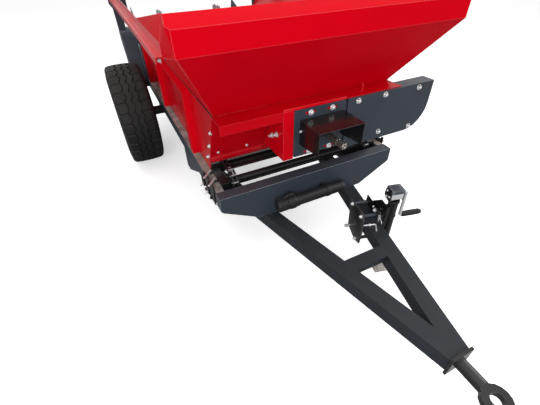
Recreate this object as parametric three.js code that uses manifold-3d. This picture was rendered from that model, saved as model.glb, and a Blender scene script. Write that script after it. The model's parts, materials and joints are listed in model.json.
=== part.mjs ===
// Small farm manure spreader: a hopper with a chain floor, a spreading rotor at the back,
// a drawbar frame in front with a wind-up jack, and a shaft drive along the left-hand side.
// Millimetres. +X is the machine's left-hand side, +Y runs from the hitch to the rotor, +Z is up.
// Y is first measured from the front beam's front face, and the whole machine is centred at the end.
import * as THREE from 'three';
import { mergeVertices } from 'three/addons/utils/BufferGeometryUtils.js';
import Module from 'manifold-3d';

const wasm = await Module();
wasm.setup();

// Clearances and cutters
const gap = 0.3;
const cutOver = 4;
const weld = 1;
const quarterTurn = Math.PI / 2;
const hexSides = 6;
const smallSides = 8;
const arcSteps = 6;
const shaftSides = 16;
const roundSides = 16;
const tyreSides = 28;

// Chassis
const sheet = { body: 3, beam: 6, guard: 3, case: 3, post: 4 };
const rail = { width: 45, depth: 90, top: 555, wall: 4, rear: 2640 };
const beam = { half: 578, depth: 69, endDepth: 95, taperHalf: 360, corner: 14 };
const leg = { size: 80, wall: 5, top: 350, outerAtBeam: 322, angleDeg: 14.1, tip: -1080, rear: 905 };
const cross = { front: -567.5, depth: 73, height: 40 };
const hanger = { thick: 8, outer: 560, front: 550, tail: 830, lipDepth: 8, step: 62, bossRadius: 18 };
const bearer = { size: 50, places: [290, 760, 1270, 1960] };
const rearBeam = { size: 60, below: 12 };
const eye = { plate: 12, plateSize: 112, neckRadius: 27, neck: 102, ringRadius: 55, bore: 25.5, thick: 30 };

// Hopper
const hopper = {
  wallHalf: 527, floorTop: 600, wallBottom: 505, bend: 965.5,
  rimHalf: 709, rimHeight: 1277, band: 50, rear: 2180,
};
const rimRail = { reach: 22, drop: 25, sheet: 3 };
const ledge = { front: -10, back: 106, lip: 49, half: 532, lipEnd: -209.3 };
const lowerPanel = { foot: 622, footBack: 278 };
const strip = { width: 46, thick: 4 };
const floorPlate = { thick: 4, front: 285, lip: 67, rear: 2176 };
const flare = {
  creaseFront: -148, crease: 1301, faceTop: 1390, lipBack: -58, lipTop: 1423, inset: 19,
  cheekTop: -44, cheekMid: -10, cheekMidHeight: 1332, cheekFoot: 4,
  gussetBack: 560, cornerHalf: 701, cornerFront: -120, cornerTop: 1400,
};
// How the corner panel's wall runs inwards, as shares of the sheet: across, along, up
const wallShares = [-1, 0.33, -0.67];
const post = { width: 60, depth: 42, topBelowRim: 34, topDepth: 16, places: [565, 1420, 2090] };

// Running gear
const wheel = { track: 1600, axleY: 1700, diameter: 845, width: 290 };
const tyre = {
  beadRadius: 205, beadHalf: 108, wallRadius: 300, bulge: 145, shoulderRadius: 398, shoulderHalf: 128,
  treadHalf: 106, crown: 30, wall: 18, grooveDepth: 10, grooveHalf: 6, ribPitch: 58,
};
const rim = {
  flangeRadius: 216, flange: 7, barrel: 8, discFace: 34, disc: 10, discBore: 64, dish: 46, dishRadius: 118,
};
const hub = {
  radius: 62, length: 150, flangeRadius: 112, flange: 12, boltCircle: 92, nutRadius: 14, nut: 16, nuts: 6,
  stud: 7, cap: 18,
};
const axle = { radius: 37.5, stub: 25, stubReach: 846, end: 652, saddleHalf: 60, saddleDrop: 34 };

// Drive line; its heights are shares of the ledge's height, so that it stays under the ledge
const heightShare = {
  pto: 0.86, drive: 0.89073, postFoot: 0.71776, plateFoot: 0.72501, caseFoot: 0.7043, guardTop: 0.93941,
};
const pto = {
  x: 8, radius: 17.5, front: -228, rear: 108, grooveFrom: -182, groove: 7, grooveDepth: 2.5,
};
const drive = {
  postLeft: -209, postWidth: 59,
  plateFront: -12, plate: 6, slotRadius: 7, slot: 52, rightPlate: 400, backPlate: 68, backWidth: 150,
  corner: 11,
};
const slots = { xShare: [0.3, 0.71], zShare: [0.062, 0.905] };
const guard = { left: -115, right: 147, front: -190, frontDrop: 117, backDrop: 134 };
const caseFront = { left: 166, right: 770, front: -20, back: 65, round: 150 };
const sideShaft = { x: 620, radius: 17.5, front: 10 };
const chain = { pitchRadius: 58, half: 6, plate: 4, mid: 26, pins: 6 };
const sprocket = { teeth: 12, tooth: 7, root: 48, tip: 60, boss: 34, bossLength: 30 };
const bearing = { flangeRadius: 46, flange: 10, boss: 32, depth: 22 };
const bolt = { head: 9, height: 8 };
const caseBoltShares = [[0.108, 0.93], [0.409, 0.93], [0.815, 0.92], [0.411, 0.165], [0.806, 0.095]];

// Floor conveyor
const floorShaft = { frontY: 156, rearY: 2250, z: 545.5, radius: 23, frontHalf: 505 };
const floorChain = {
  x: 450, pitchRadius: 64, thick: 18, plate: 7, between: 18, teeth: 8, tooth: 14, root: 50, tip: 66,
};
const slat = { height: 16, depth: 34, count: 8, first: 420, foot: 5 };
const block = { front: 104, rear: 281, thick: 46 };
const clamp = { plate: 6, radius: 6, places: [168, 263], nutRadius: 11, nut: 9, past: 12 };

// Rotor
const rotor = {
  y: 2400, tube: 57, end: 517, tip: 250, blade: 6, shaft: 25, blades: 14,
  neckWidth: 46, toothWidth: 84, turnsShare: 1.5, endDisc: 8, endDiscRadius: 120,
};
const rotorPanel = {
  flange: 5, side: 6, top: 1400, innerEdge: 593, upright: 711, skirt: 735, rear: 2680,
  sideTop: 1120, sideRearTop: 900, sideSlope: 80, tube: 60, tubeFoot: 1000, gussetShare: 0.7568,
  waistDrop: 35.5, skirtTop: 1300,
};
const caseRear = { outer: 700, topRadius: 130, footRadius: 80, feedWheel: 62, feedThick: 24 };
const bevel = { inner: 576, outer: 676, half: 68, wall: 8, gearReach: 34, gearStart: 12, gearRadius: 31 };

// Document canister
const canister = {
  left: -273, right: 177, radius: 38, y: -60, z: 442, cap: 62, capRadius: 41, ribs: 20, rib: 2, wall: 3,
};
const canisterClip = { width: 22, thick: 3, places: [-150, 60] };

// Jack, in a frame square to the left drawbar leg
const jack = { along: -373.8, offset: 44, tube: 27, tubeWall: 3.5, tubeFoot: 150, tubeTop: 515 };
const jackHead = { half: 38, crankClear: 15, depth: 68, back: 10, height: 70 };
const jackPlate = {
  thick: 6, frontLow: [39, 162], heel: [98, 144], backLow: [204, 174],
  outerBack: [193, 407], outerFront: [23, 407], outerWaist: [27, 300],
  innerBack: [226, 372], innerFront: [54, 390], innerWaist: [24, 328],
};
const jackRod = { radius: 8, headRadius: 12, head: 7, places: [[185, 361], [65, 361], [83, 166]] };
const jackPivot = { v: 72, z: 388, radius: 11, washer: 17, washerThick: 5 };
const swivel = { thick: 6, front: -16, top: 475, kneeV: 57, kneeZ: 410, back: 133, foot: 330 };
const innerLeg = { top: 350, foot: 6, footAcross: 42, footFront: 74, footBack: 54, hole: 12 };
const crank = {
  shaftV: -8, z: 566, shaft: 9, reach: 161, arm: 22, thick: 7, stand: 22, grip: 15, gripLength: 122,
  spindle: 6,
};
const lockPin = { v: 178, z: 192, radius: 7, head: 13, headLength: 14, past: 6 };

// Sizes that follow
const ptoZ = hopper.bend * heightShare.pto;
const driveZ = hopper.bend * heightShare.drive;
const postFoot = hopper.bend * heightShare.postFoot;
const plateFoot = hopper.bend * heightShare.plateFoot;
const caseFoot = hopper.bend * heightShare.caseFoot;
const guardTop = hopper.bend * heightShare.guardTop;
const railInner = hopper.wallHalf + gap;
const railOuter = railInner + rail.width;
const railFoot = rail.top - rail.depth;
const axleZ = (wheel.diameter / 2) * Math.cos(Math.PI / tyreSides);
const beamFoot = leg.top + gap;
const legFoot = leg.top - leg.size;
const legAngle = THREE.MathUtils.degToRad(leg.angleDeg);
const legSlope = Math.tan(legAngle);
const legAcross = leg.size / Math.cos(legAngle);
const wallInner = hopper.wallHalf - sheet.body;
const flareHalf = hopper.rimHalf - flare.inset;
const caseInner = railOuter + gap;
const chainBetween = sprocket.tooth + gap * 2;
const turnReach = floorChain.tip + floorChain.thick;
const plateLeft = drive.postLeft + drive.postWidth + gap;
const plateRight = caseFront.left - gap;
const ledgeUnder = hopper.bend - sheet.body - gap;
const frontTip = leg.tip - gap - eye.plate - eye.neck - eye.ringRadius * 2 + cutOver;

// Finishes
function paint(color, roughness, metalness) {
  return new THREE.MeshStandardMaterial({ color, roughness, metalness });
}

const red = 0xd2101f;
const darkRed = 0xb50d1b;
const anthracite = 0x3a4149;
const black = 0x17181a;
const zinc = 0xb9bcc0;
const rubber = 0x1e1d1c;
const silver = 0xa6a9ad;

const machine = new THREE.Group();
const jackFrame = new THREE.Group();

// A closed geometry becomes a solid, turned the right way out
function solidOf(source) {
  const raw = source.clone();
  raw.deleteAttribute('normal');
  raw.deleteAttribute('uv');
  const merged = mergeVertices(raw);
  const points = merged.getAttribute('position').array;
  const order = Uint32Array.from(merged.index.array);
  let volume = 0;
  const corner = (i) => new THREE.Vector3(
    points[3 * order[i]], points[3 * order[i] + 1], points[3 * order[i] + 2],
  );
  for (let i = 0; i < order.length; i += 3) {
    volume += corner(i).dot(corner(i + 1).cross(corner(i + 2)));
  }
  if (volume < 0) {
    for (let i = 0; i < order.length; i += 3) {
      [order[i], order[i + 1]] = [order[i + 1], order[i]];
    }
  }
  const mesh = new wasm.Mesh({ numProp: 3, vertProperties: Float32Array.from(points), triVerts: order });
  return new wasm.Manifold(mesh);
}

function geometryOf(solid) {
  const mesh = solid.getMesh();
  const geometry = new THREE.BufferGeometry();
  geometry.setAttribute('position', new THREE.BufferAttribute(Float32Array.from(mesh.vertProperties), 3));
  geometry.setIndex(new THREE.BufferAttribute(Uint32Array.from(mesh.triVerts), 1));
  geometry.computeVertexNormals();
  return geometry;
}

function joined(solids) {
  return solids.reduce((whole, next) => whole.add(next));
}

function cutBy(solid, cutters) {
  return cutters.reduce((left, cutter) => left.subtract(cutter), solid);
}

function block3(x0, x1, y0, y1, z0, z1) {
  const box = new THREE.BoxGeometry(x1 - x0, y1 - y0, z1 - z0);
  box.translate((x0 + x1) / 2, (y0 + y1) / 2, (z0 + z1) / 2);
  return solidOf(box);
}

// A many-sided bore whose flats clear a turning shaft's corners
function boreFor(radius, sides = shaftSides) {
  return (radius + gap) / Math.cos(Math.PI / sides);
}

// Round bars along each axis; the last two places are the centre line's other coordinates
function barX(radius, x0, x1, y, z, sides = shaftSides, radius2 = radius) {
  const bar = new THREE.CylinderGeometry(radius2, radius, x1 - x0, sides);
  bar.rotateZ(-quarterTurn);
  bar.translate((x0 + x1) / 2, y, z);
  return solidOf(bar);
}

function barY(radius, y0, y1, x, z, sides = shaftSides, radius2 = radius) {
  const bar = new THREE.CylinderGeometry(radius2, radius, y1 - y0, sides);
  bar.translate(x, (y0 + y1) / 2, z);
  return solidOf(bar);
}

function barZ(radius, z0, z1, x, y, sides = shaftSides) {
  const bar = new THREE.CylinderGeometry(radius, radius, z1 - z0, sides);
  bar.rotateX(quarterTurn);
  bar.translate(x, y, (z0 + z1) / 2);
  return solidOf(bar);
}

function shapeOf(outline) {
  return new THREE.Shape(outline.map(([a, b]) => new THREE.Vector2(a, b)));
}

// An outline of [y, z] points run along X
function alongX(outline, x0, x1) {
  const geometry = new THREE.ExtrudeGeometry(shapeOf(outline), { depth: x1 - x0, bevelEnabled: false });
  geometry.applyMatrix4(new THREE.Matrix4().makeBasis(
    new THREE.Vector3(0, 1, 0),
    new THREE.Vector3(0, 0, 1),
    new THREE.Vector3(1, 0, 0),
  ));
  geometry.translate(x0, 0, 0);
  return solidOf(geometry);
}

// An outline of [x, z] points run along Y
function alongY(outline, y0, y1) {
  const geometry = new THREE.ExtrudeGeometry(shapeOf(outline), { depth: y1 - y0, bevelEnabled: false });
  geometry.rotateX(quarterTurn);
  geometry.translate(0, y1, 0);
  return solidOf(geometry);
}

// An outline of [x, y] points run along Z
function alongZ(outline, z0, z1) {
  const geometry = new THREE.ExtrudeGeometry(shapeOf(outline), { depth: z1 - z0, bevelEnabled: false });
  geometry.translate(0, 0, z0);
  return solidOf(geometry);
}

// A profile of [radius, height] points spun about the X axis at (y, z), with a flat side down
function spunX(profile, x, y, z, sides) {
  const points = [...profile, profile[0]].map(([r, h]) => new THREE.Vector2(r, h));
  const geometry = new THREE.LatheGeometry(points, sides, Math.PI / sides);
  geometry.rotateZ(-quarterTurn);
  geometry.translate(x, y, z);
  return solidOf(geometry);
}

// The closed outline of a folded sheet; the thickness lies to the left of the line
function folded(line, thickness) {
  const offset = line.map(([a, b], i) => {
    const before = line[Math.max(i - 1, 0)];
    const here = i === 0 ? line[1] : line[i];
    const after = line[Math.min(i + 1, line.length - 1)];
    const last = i === line.length - 1 ? line[i - 1] : line[i];
    const normalIn = leftNormal(i === 0 ? line[0] : before, here);
    const normalOut = leftNormal(last, i === line.length - 1 ? line[i] : after);
    const share = thickness / (1 + normalIn[0] * normalOut[0] + normalIn[1] * normalOut[1]);
    return [a + share * (normalIn[0] + normalOut[0]), b + share * (normalIn[1] + normalOut[1])];
  });
  return [...line, ...offset.reverse()];
}

function leftNormal([a0, b0], [a1, b1]) {
  const length = Math.hypot(a1 - a0, b1 - b0);
  return [-(b1 - b0) / length, (a1 - a0) / length];
}

// A flat plate from corner points in space, thickened towards the given direction
function plateOf(corners, thickness, towards) {
  const points = corners.map((c) => new THREE.Vector3(...c));
  const edgeA = points[1].clone().sub(points[0]);
  const edgeB = points[points.length - 1].clone().sub(points[0]);
  const normal = edgeA.clone().cross(edgeB).normalize();
  if (normal.dot(new THREE.Vector3(...towards)) < 0) {
    normal.negate();
  }
  const axisA = edgeA.normalize();
  const axisB = normal.clone().cross(axisA);
  const flat = points.map((p) => {
    const arm = p.clone().sub(points[0]);
    return [arm.dot(axisA), arm.dot(axisB)];
  });
  const geometry = new THREE.ExtrudeGeometry(shapeOf(flat), { depth: thickness, bevelEnabled: false });
  const place = new THREE.Matrix4().makeBasis(axisA, axisB, normal);
  place.setPosition(points[0]);
  geometry.applyMatrix4(place);
  return solidOf(geometry);
}

function mirrored(solid) {
  const geometry = geometryOf(solid);
  geometry.scale(-1, 1, 1);
  return solidOf(geometry);
}

function boxTube(x0, x1, y0, y1, z0, z1, wall, along) {
  const cut = { x: [x0 + wall, x1 - wall], y: [y0 + wall, y1 - wall], z: [z0 + wall, z1 - wall] };
  const range = { x: [x0, x1], y: [y0, y1], z: [z0, z1] };
  cut[along] = [range[along][0] - cutOver, range[along][1] + cutOver];
  return block3(x0, x1, y0, y1, z0, z1).subtract(block3(...cut.x, ...cut.y, ...cut.z));
}

function node(name, solid, color, roughness, metalness, group = machine) {
  const mesh = new THREE.Mesh(geometryOf(solid), paint(color, roughness, metalness));
  mesh.name = name;
  group.add(mesh);
}

function pair(name, solid, color, roughness, metalness) {
  node(`${name}_left`, solid, color, roughness, metalness);
  node(`${name}_right`, mirrored(solid), color, roughness, metalness);
}

function arc(centreA, centreB, radius, from, to, steps) {
  return Array.from({ length: steps + 1 }, (_, i) => {
    const angle = from + ((to - from) * i) / steps;
    return [centreA + radius * Math.cos(angle), centreB + radius * Math.sin(angle)];
  });
}

// Distance of a leg's outer edge from the middle at a place along the machine
function legOuter(y) {
  return leg.outerAtBeam + legSlope * y;
}

function sideRails() {
  const tube = boxTube(railInner, railOuter, beam.depth + gap, rail.rear, railFoot, rail.top, rail.wall, 'y');
  const notch = barX(
    floorShaft.radius + gap * 2, railInner - cutOver, railOuter + cutOver,
    floorShaft.rearY, floorShaft.z, roundSides,
  );
  const face = railInner - gap;
  const shaft = floorShaft.radius;
  const seat = block3(
    face - weld, railInner + weld, floorShaft.rearY - bearing.boss, floorShaft.rearY + bearing.boss,
    floorShaft.z - bearing.flangeRadius, floorShaft.z,
  );
  const unit = joined([flangeBearingX(floorShaft.rearY, floorShaft.z, face, -1, shaft), seat]);
  pair('side_rail', joined([tube, unit]).subtract(notch), anthracite, 0.42, 0.25);
}

function beamOutline(inset) {
  const half = beam.half - inset;
  const top = rail.top - inset;
  const end = rail.top - beam.endDepth + inset;
  const right = [
    [half, end + beam.corner],
    [half - beam.corner, end],
    [beam.taperHalf, beamFoot + inset],
  ];
  const left = right.map(([x, z]) => [-x, z]);
  return [[-half, top], ...left, ...right.reverse(), [half, top]];
}

function frontBeam() {
  const body = alongY(beamOutline(0), 0, beam.depth);
  const pocket = alongY(beamOutline(sheet.beam), sheet.beam, beam.depth + cutOver);
  node('front_beam', body.subtract(pocket), anthracite, 0.42, 0.25);
}

function rearBeamTube() {
  const top = rail.top - rearBeam.below;
  const half = railInner - gap;
  const front = rail.rear - rearBeam.size;
  const tube = boxTube(-half, half, front, rail.rear, top - rearBeam.size, top, rail.wall, 'x');
  node('rear_beam', tube, anthracite, 0.42, 0.25);
}

function legOutline() {
  const tipOuter = legOuter(leg.tip);
  const rearOuter = legOuter(leg.rear);
  return [
    [Math.max(tipOuter - legAcross, gap), leg.tip],
    [tipOuter, leg.tip],
    [rearOuter, leg.rear],
    [rearOuter - legAcross, leg.rear],
    [gap, leg.tip + (legAcross + gap - tipOuter) / legSlope],
  ];
}

function legHollow() {
  const wall = leg.wall / Math.cos(legAngle);
  const front = leg.tip + leg.size;
  return [
    [Math.max(legOuter(front) - legAcross + wall, gap + leg.wall), front],
    [legOuter(front) - wall, front],
    [legOuter(leg.rear + cutOver) - wall, leg.rear + cutOver],
    [legOuter(leg.rear + cutOver) - legAcross + wall, leg.rear + cutOver],
    [gap + leg.wall, leg.tip + (legAcross - wall + gap + leg.wall - tipAt()) / legSlope],
  ];
}

function tipAt() {
  return legOuter(leg.tip);
}

function drawbarLegs() {
  const body = alongZ(legOutline(), legFoot, leg.top);
  const hollow = alongZ(legHollow(), legFoot + leg.wall, leg.top - leg.wall);
  pair('drawbar_leg', body.subtract(hollow), anthracite, 0.42, 0.25);
}

function crossMember() {
  const rear = cross.front + cross.depth;
  const inner = (y) => legOuter(y) - legAcross - gap / Math.cos(legAngle);
  const outline = [
    [-inner(cross.front), cross.front],
    [inner(cross.front), cross.front],
    [inner(rear), rear],
    [-inner(rear), rear],
  ];
  const foot = leg.top - cross.height;
  const body = alongZ(outline, foot, leg.top);
  const half = inner(rear) + cutOver;
  const hollow = block3(
    -half, half, cross.front + leg.wall, rear - leg.wall, foot + leg.wall, leg.top - leg.wall,
  );
  node('drawbar_cross_member', body.subtract(hollow), anthracite, 0.42, 0.25);
}

function hangers() {
  const top = railFoot - gap;
  const foot = legFoot - hanger.lipDepth;
  const plate = alongX([
    [hanger.front, top],
    [hanger.front, top - hanger.step],
    [hanger.tail, foot],
    [leg.rear, foot],
    [leg.rear, top],
  ], hanger.outer - hanger.thick, hanger.outer);
  const bossY = (hanger.tail + leg.rear) / 2 + hanger.bossRadius / 2;
  const reach = legOuter(bossY + hanger.bossRadius) + gap;
  const bossZ = leg.top - leg.size / 2;
  const boss = barX(hanger.bossRadius, reach, hanger.outer - hanger.thick + weld, bossY, bossZ);
  pair('drawbar_hanger', plate.add(boss), anthracite, 0.42, 0.25);
}

function hitchEye() {
  const z = leg.top - leg.size / 2;
  const half = eye.plateSize / 2;
  const plateBack = leg.tip - gap;
  const plateFront = plateBack - eye.plate;
  const centre = plateFront - eye.neck - eye.ringRadius + cutOver;
  const plate = block3(-half, half, plateFront, plateBack, z - half, z + half);
  const neck = barY(eye.neckRadius, centre, plateFront + weld, 0, z);
  const ring = barZ(eye.ringRadius, z - eye.thick / 2, z + eye.thick / 2, 0, centre, roundSides);
  const bore = barZ(eye.bore, z - eye.thick, z + eye.thick, 0, centre, roundSides);
  const flat = block3(-half, half, centre - half, centre + eye.ringRadius, z + eye.thick / 2, z + half);
  const flatBelow = block3(-half, half, centre - half, centre + eye.ringRadius, z - half, z - eye.thick / 2);
  node('hitch_eye', cutBy(joined([plate, neck, ring]), [bore, flat, flatBelow]), black, 0.5, 0.4);
}


function hopperFloor() {
  const half = wallInner - gap;
  const line = [
    [floorPlate.rear, hopper.floorTop],
    [floorPlate.front, hopper.floorTop],
    [floorPlate.front, hopper.floorTop - floorPlate.lip],
  ];
  const top = hopper.floorTop - floorPlate.thick + weld;
  const tubes = bearer.places.map((y) => boxTube(
    -half, half, y, y + bearer.size, top - bearer.size, top, rail.wall, 'x',
  ));
  node(
    'hopper_floor', joined([alongX(folded(line, floorPlate.thick), -half, half), ...tubes]), black, 0.55, 0.2,
  );
}

// Where the rim band's front edge meets the cheek
const cheekLean = (flare.cheekMid - flare.cheekFoot) / (flare.cheekMidHeight - hopper.rimHeight);
const bandFront = flare.cheekFoot + cheekLean * hopper.band;

// Where the recessed front panel stands at a height
function panelY(z) {
  const rise = (hopper.bend - z) / (hopper.bend - lowerPanel.foot);
  return ledge.back + (lowerPanel.footBack - ledge.back) * rise;
}

function hopperSides() {
  const top = hopper.rimHeight + hopper.band;
  const line = [
    [hopper.wallHalf, hopper.wallBottom],
    [hopper.wallHalf, hopper.bend],
    [hopper.rimHalf, hopper.rimHeight],
    [hopper.rimHalf, top],
  ];
  const front = flare.cheekMid - cutOver;
  const skin = alongY(folded(line, sheet.body), front, hopper.rear);
  const lip = alongY(folded([
    [hopper.rimHalf + rimRail.reach, hopper.rimHeight - rimRail.drop],
    [hopper.rimHalf + rimRail.reach, hopper.rimHeight],
    [hopper.rimHalf - sheet.body / 2, hopper.rimHeight],
  ], -rimRail.sheet).reverse(), front, hopper.rear);
  const bottomFront = panelY(hopper.wallBottom - cutOver);
  const keep = alongX([
    [bottomFront + gap, hopper.wallBottom - cutOver],
    [panelY(hopper.bend) + gap, hopper.bend],
    [flare.cheekFoot + gap, hopper.rimHeight],
    [bandFront + gap, top + cutOver],
    [hopper.rear + cutOver, top + cutOver],
    [hopper.rear + cutOver, hopper.wallBottom - cutOver],
  ], 0, hopper.rimHalf + rimRail.reach + cutOver);
  const shaftHole = barX(
    floorShaft.radius + cutOver, hopper.wallHalf - sheet.body * 2, hopper.wallHalf + sheet.body,
    floorShaft.rearY, floorShaft.z,
  );
  pair('hopper_side', skin.add(lip).intersect(keep).subtract(shaftHole), red, 0.3, 0.1);
}

function hopperFrontLower() {
  const line = [
    [lowerPanel.footBack, lowerPanel.foot],
    [ledge.back, hopper.bend],
    [ledge.front, hopper.bend],
    [ledge.front, hopper.bend - ledge.lip],
  ];
  const body = alongX(folded(line, sheet.body), -ledge.half, ledge.half);
  const lipCut = block3(
    ledge.lipEnd, ledge.half + cutOver, ledge.front - cutOver, ledge.front + sheet.body + gap,
    hopper.bend - ledge.lip - cutOver, hopper.bend - sheet.body,
  );
  const stripTop = lowerPanel.foot + strip.width;
  const [outY, outZ] = leftNormal([lowerPanel.footBack, lowerPanel.foot], [ledge.back, hopper.bend]);
  const shift = sheet.body - weld;
  const stripLine = [
    [lowerPanel.footBack + outY * shift, lowerPanel.foot + outZ * shift],
    [panelY(stripTop) + outY * shift, stripTop + outZ * shift],
  ];
  const seal = alongX(folded(stripLine, strip.thick + weld), -ledge.half, ledge.half);
  node('hopper_front_lower', body.subtract(lipCut).add(seal), darkRed, 0.32, 0.1);
}

// A three-cornered piece of the hopper's corner panel, its wall laid inwards
function sheetOf(corners) {
  const [across, along, down] = wallShares.map((share) => share * sheet.body);
  const inward = corners.map(([x, y, z]) => [x + across, y + along, z + down]);
  return wasm.Manifold.hull([...corners, ...inward]);
}

function hopperFrontFlare() {
  const line = [
    [flare.lipBack, flare.lipTop],
    [flare.creaseFront, flare.faceTop],
    [flare.creaseFront, flare.crease],
    [ledge.back - gap, hopper.bend + gap],
  ];
  const wide = flareHalf + cutOver;
  const skin = alongX(folded(line, sheet.body), -wide, wide);
  const above = flare.lipTop + cutOver * 2;
  const below = hopper.bend - cutOver;
  const keep = alongY([
    [gap - wallInner, below],
    [wallInner - gap, below],
    [wallInner - gap, hopper.bend + cutOver * 2],
    [flareHalf, flare.crease],
    [flareHalf, above],
    [-flareHalf, above],
    [-flareHalf, flare.crease],
    [gap - wallInner, hopper.bend + cutOver * 2],
  ], flare.creaseFront - cutOver, ledge.back + cutOver * 2);
  const bandHalf = hopper.rimHalf - sheet.body - gap;
  const tuck = sheet.body * 2;
  const corner = plateOf([
    [hopper.wallHalf - tuck, ledge.back - cutOver, hopper.bend + sheet.body],
    [flareHalf - tuck, flare.creaseFront, flare.crease],
    [bandHalf, flare.cheekFoot - gap, hopper.rimHeight],
  ], sheet.body, [1, -1, -1]);
  const bandTop = hopper.rimHeight + hopper.band + gap;
  const crown = [flareHalf, flare.creaseFront, flare.faceTop];
  const fold = [flareHalf, flare.creaseFront, flare.crease];
  const chamfer = [flare.cornerHalf, flare.cornerFront, flare.cornerTop];
  const bandFoot = [bandHalf, flare.cheekFoot - gap, hopper.rimHeight];
  const bandHead = [bandHalf, bandFront - gap, bandTop];
  const peak = [flareHalf, flare.cheekTop, flare.lipTop];
  const cornerPanel = joined([
    [crown, fold, chamfer],
    [fold, bandFoot, chamfer],
    [bandFoot, bandHead, chamfer],
    [chamfer, bandHead, peak],
    [crown, chamfer, [flareHalf, flare.lipBack, flare.lipTop]],
  ].map(sheetOf));
  const gusset = plateOf([
    [hopper.rimHalf, flare.gussetBack, bandTop],
    [hopper.rimHalf, bandFront - sheet.body, bandTop],
    [flareHalf, flare.cheekTop, flare.lipTop],
  ], sheet.body, [-1, 0, -1]);
  const bandClear = block3(
    bandHalf, hopper.rimHalf + cutOver, bandFront - cutOver, flare.gussetBack + cutOver,
    hopper.rimHeight - cutOver, bandTop,
  );
  const side = cutBy(joined([cornerPanel, corner, gusset]), [bandClear]);
  node('hopper_front_flare', joined([skin.intersect(keep), side, mirrored(side)]), red, 0.3, 0.1);
}

function sidePosts() {
  const slope = (hopper.rimHalf - hopper.wallHalf) / (hopper.rimHeight - hopper.bend);
  const flareX = (z) => hopper.wallHalf + slope * (z - hopper.bend);
  const top = hopper.rimHeight - post.topBelowRim;
  const clear = gap * 2;
  const outline = [
    [hopper.wallHalf + clear, rail.top + gap],
    [hopper.wallHalf + post.depth, rail.top + gap],
    [hopper.wallHalf + post.depth, hopper.bend - post.topDepth],
    [flareX(top) + post.topDepth, top - post.topDepth / 2],
    [flareX(top) + clear, top],
    [hopper.wallHalf + clear, hopper.bend],
  ];
  post.places.forEach((y, i) => {
    pair(`side_post_${i + 1}`, alongY(outline, y - post.width / 2, y + post.width / 2), red, 0.32, 0.1);
  });
}

function tyreProfile() {
  const out = wheel.diameter / 2;
  const floor = out - tyre.grooveDepth;
  const grooves = [1, 0, -1].flatMap((i) => {
    const mid = i * tyre.ribPitch;
    return [
      [out, mid + tyre.grooveHalf],
      [floor, mid],
      [out, mid - tyre.grooveHalf],
    ];
  });
  const side = [
    [tyre.beadRadius, tyre.beadHalf],
    [rim.flangeRadius + rim.flange, tyre.beadHalf],
    [tyre.wallRadius, tyre.bulge],
    [tyre.shoulderRadius, tyre.shoulderHalf],
    [out, tyre.treadHalf],
  ];
  const inside = [
    [out - tyre.crown, 0],
    [tyre.shoulderRadius - tyre.crown / 2, tyre.shoulderHalf - tyre.crown],
    [tyre.wallRadius, tyre.bulge - tyre.wall],
    [tyre.beadRadius, tyre.beadHalf - tyre.wall],
  ];
  const upper = inside.slice(1).reverse();
  return [
    ...side, ...grooves, ...side.map(([r, h]) => [r, -h]).reverse(),
    ...upper.map(([r, h]) => [r, -h]), ...inside,
  ];
}

function wheels() {
  const x = wheel.track / 2;
  const tyreSolid = spunX(tyreProfile(), x, wheel.axleY, axleZ, tyreSides);
  pair('tyre', tyreSolid, rubber, 0.85, 0);
  const seat = tyre.beadRadius - gap;
  const flangeIn = tyre.beadHalf + gap;
  const flangeOut = flangeIn + rim.flange;
  const barrel = spunX([
    [seat - rim.barrel, -flangeOut],
    [rim.flangeRadius, -flangeOut],
    [rim.flangeRadius, -flangeIn],
    [seat, -flangeIn],
    [seat, flangeIn],
    [rim.flangeRadius, flangeIn],
    [rim.flangeRadius, flangeOut],
    [seat - rim.barrel, flangeOut],
  ], x, wheel.axleY, axleZ, tyreSides);
  const discBack = rim.discFace;
  const disc = spunX([
    [rim.discBore, discBack],
    [rim.dishRadius, discBack],
    [seat - rim.barrel / 2, discBack - rim.dish],
    [seat - rim.barrel / 2, discBack - rim.dish + rim.disc],
    [rim.dishRadius, discBack + rim.disc],
    [rim.discBore, discBack + rim.disc],
  ], x, wheel.axleY, axleZ, tyreSides);
  const flangeFace = x + discBack - gap;
  const studPlaces = Array.from({ length: hub.nuts }, (_, i) => {
    const angle = (i * 2 * Math.PI) / hub.nuts;
    return [wheel.axleY + hub.boltCircle * Math.cos(angle), axleZ + hub.boltCircle * Math.sin(angle)];
  });
  const studHoles = studPlaces.map(([y, z]) => barX(
    hub.stud + gap, flangeFace - cutOver, flangeFace + rim.disc + cutOver, y, z, smallSides,
  ));
  pair('rim', cutBy(barrel.add(disc), studHoles), silver, 0.45, 0.5);
  const hubIn = flangeFace + rim.disc * 2 - hub.length;
  const hubOut = flangeFace + rim.disc + hub.cap;
  const body = barX(hub.radius, hubIn, hubOut, wheel.axleY, axleZ, roundSides);
  const flange = barX(hub.flangeRadius, flangeFace - hub.flange, flangeFace, wheel.axleY, axleZ, roundSides);
  const bore = barX(boreFor(axle.stub), hubIn - cutOver, axle.stubReach + gap, wheel.axleY, axleZ);
  const nutFace = flangeFace + gap * 2 + rim.disc;
  const nuts = studPlaces.flatMap(([y, z]) => [
    barX(hub.nutRadius, nutFace, nutFace + hub.nut, y, z, hexSides),
    barX(hub.stud, flangeFace - weld, nutFace + weld, y, z, smallSides),
  ]);
  pair('hub', joined([body, flange, ...nuts]).subtract(bore), black, 0.5, 0.4);
}

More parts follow.
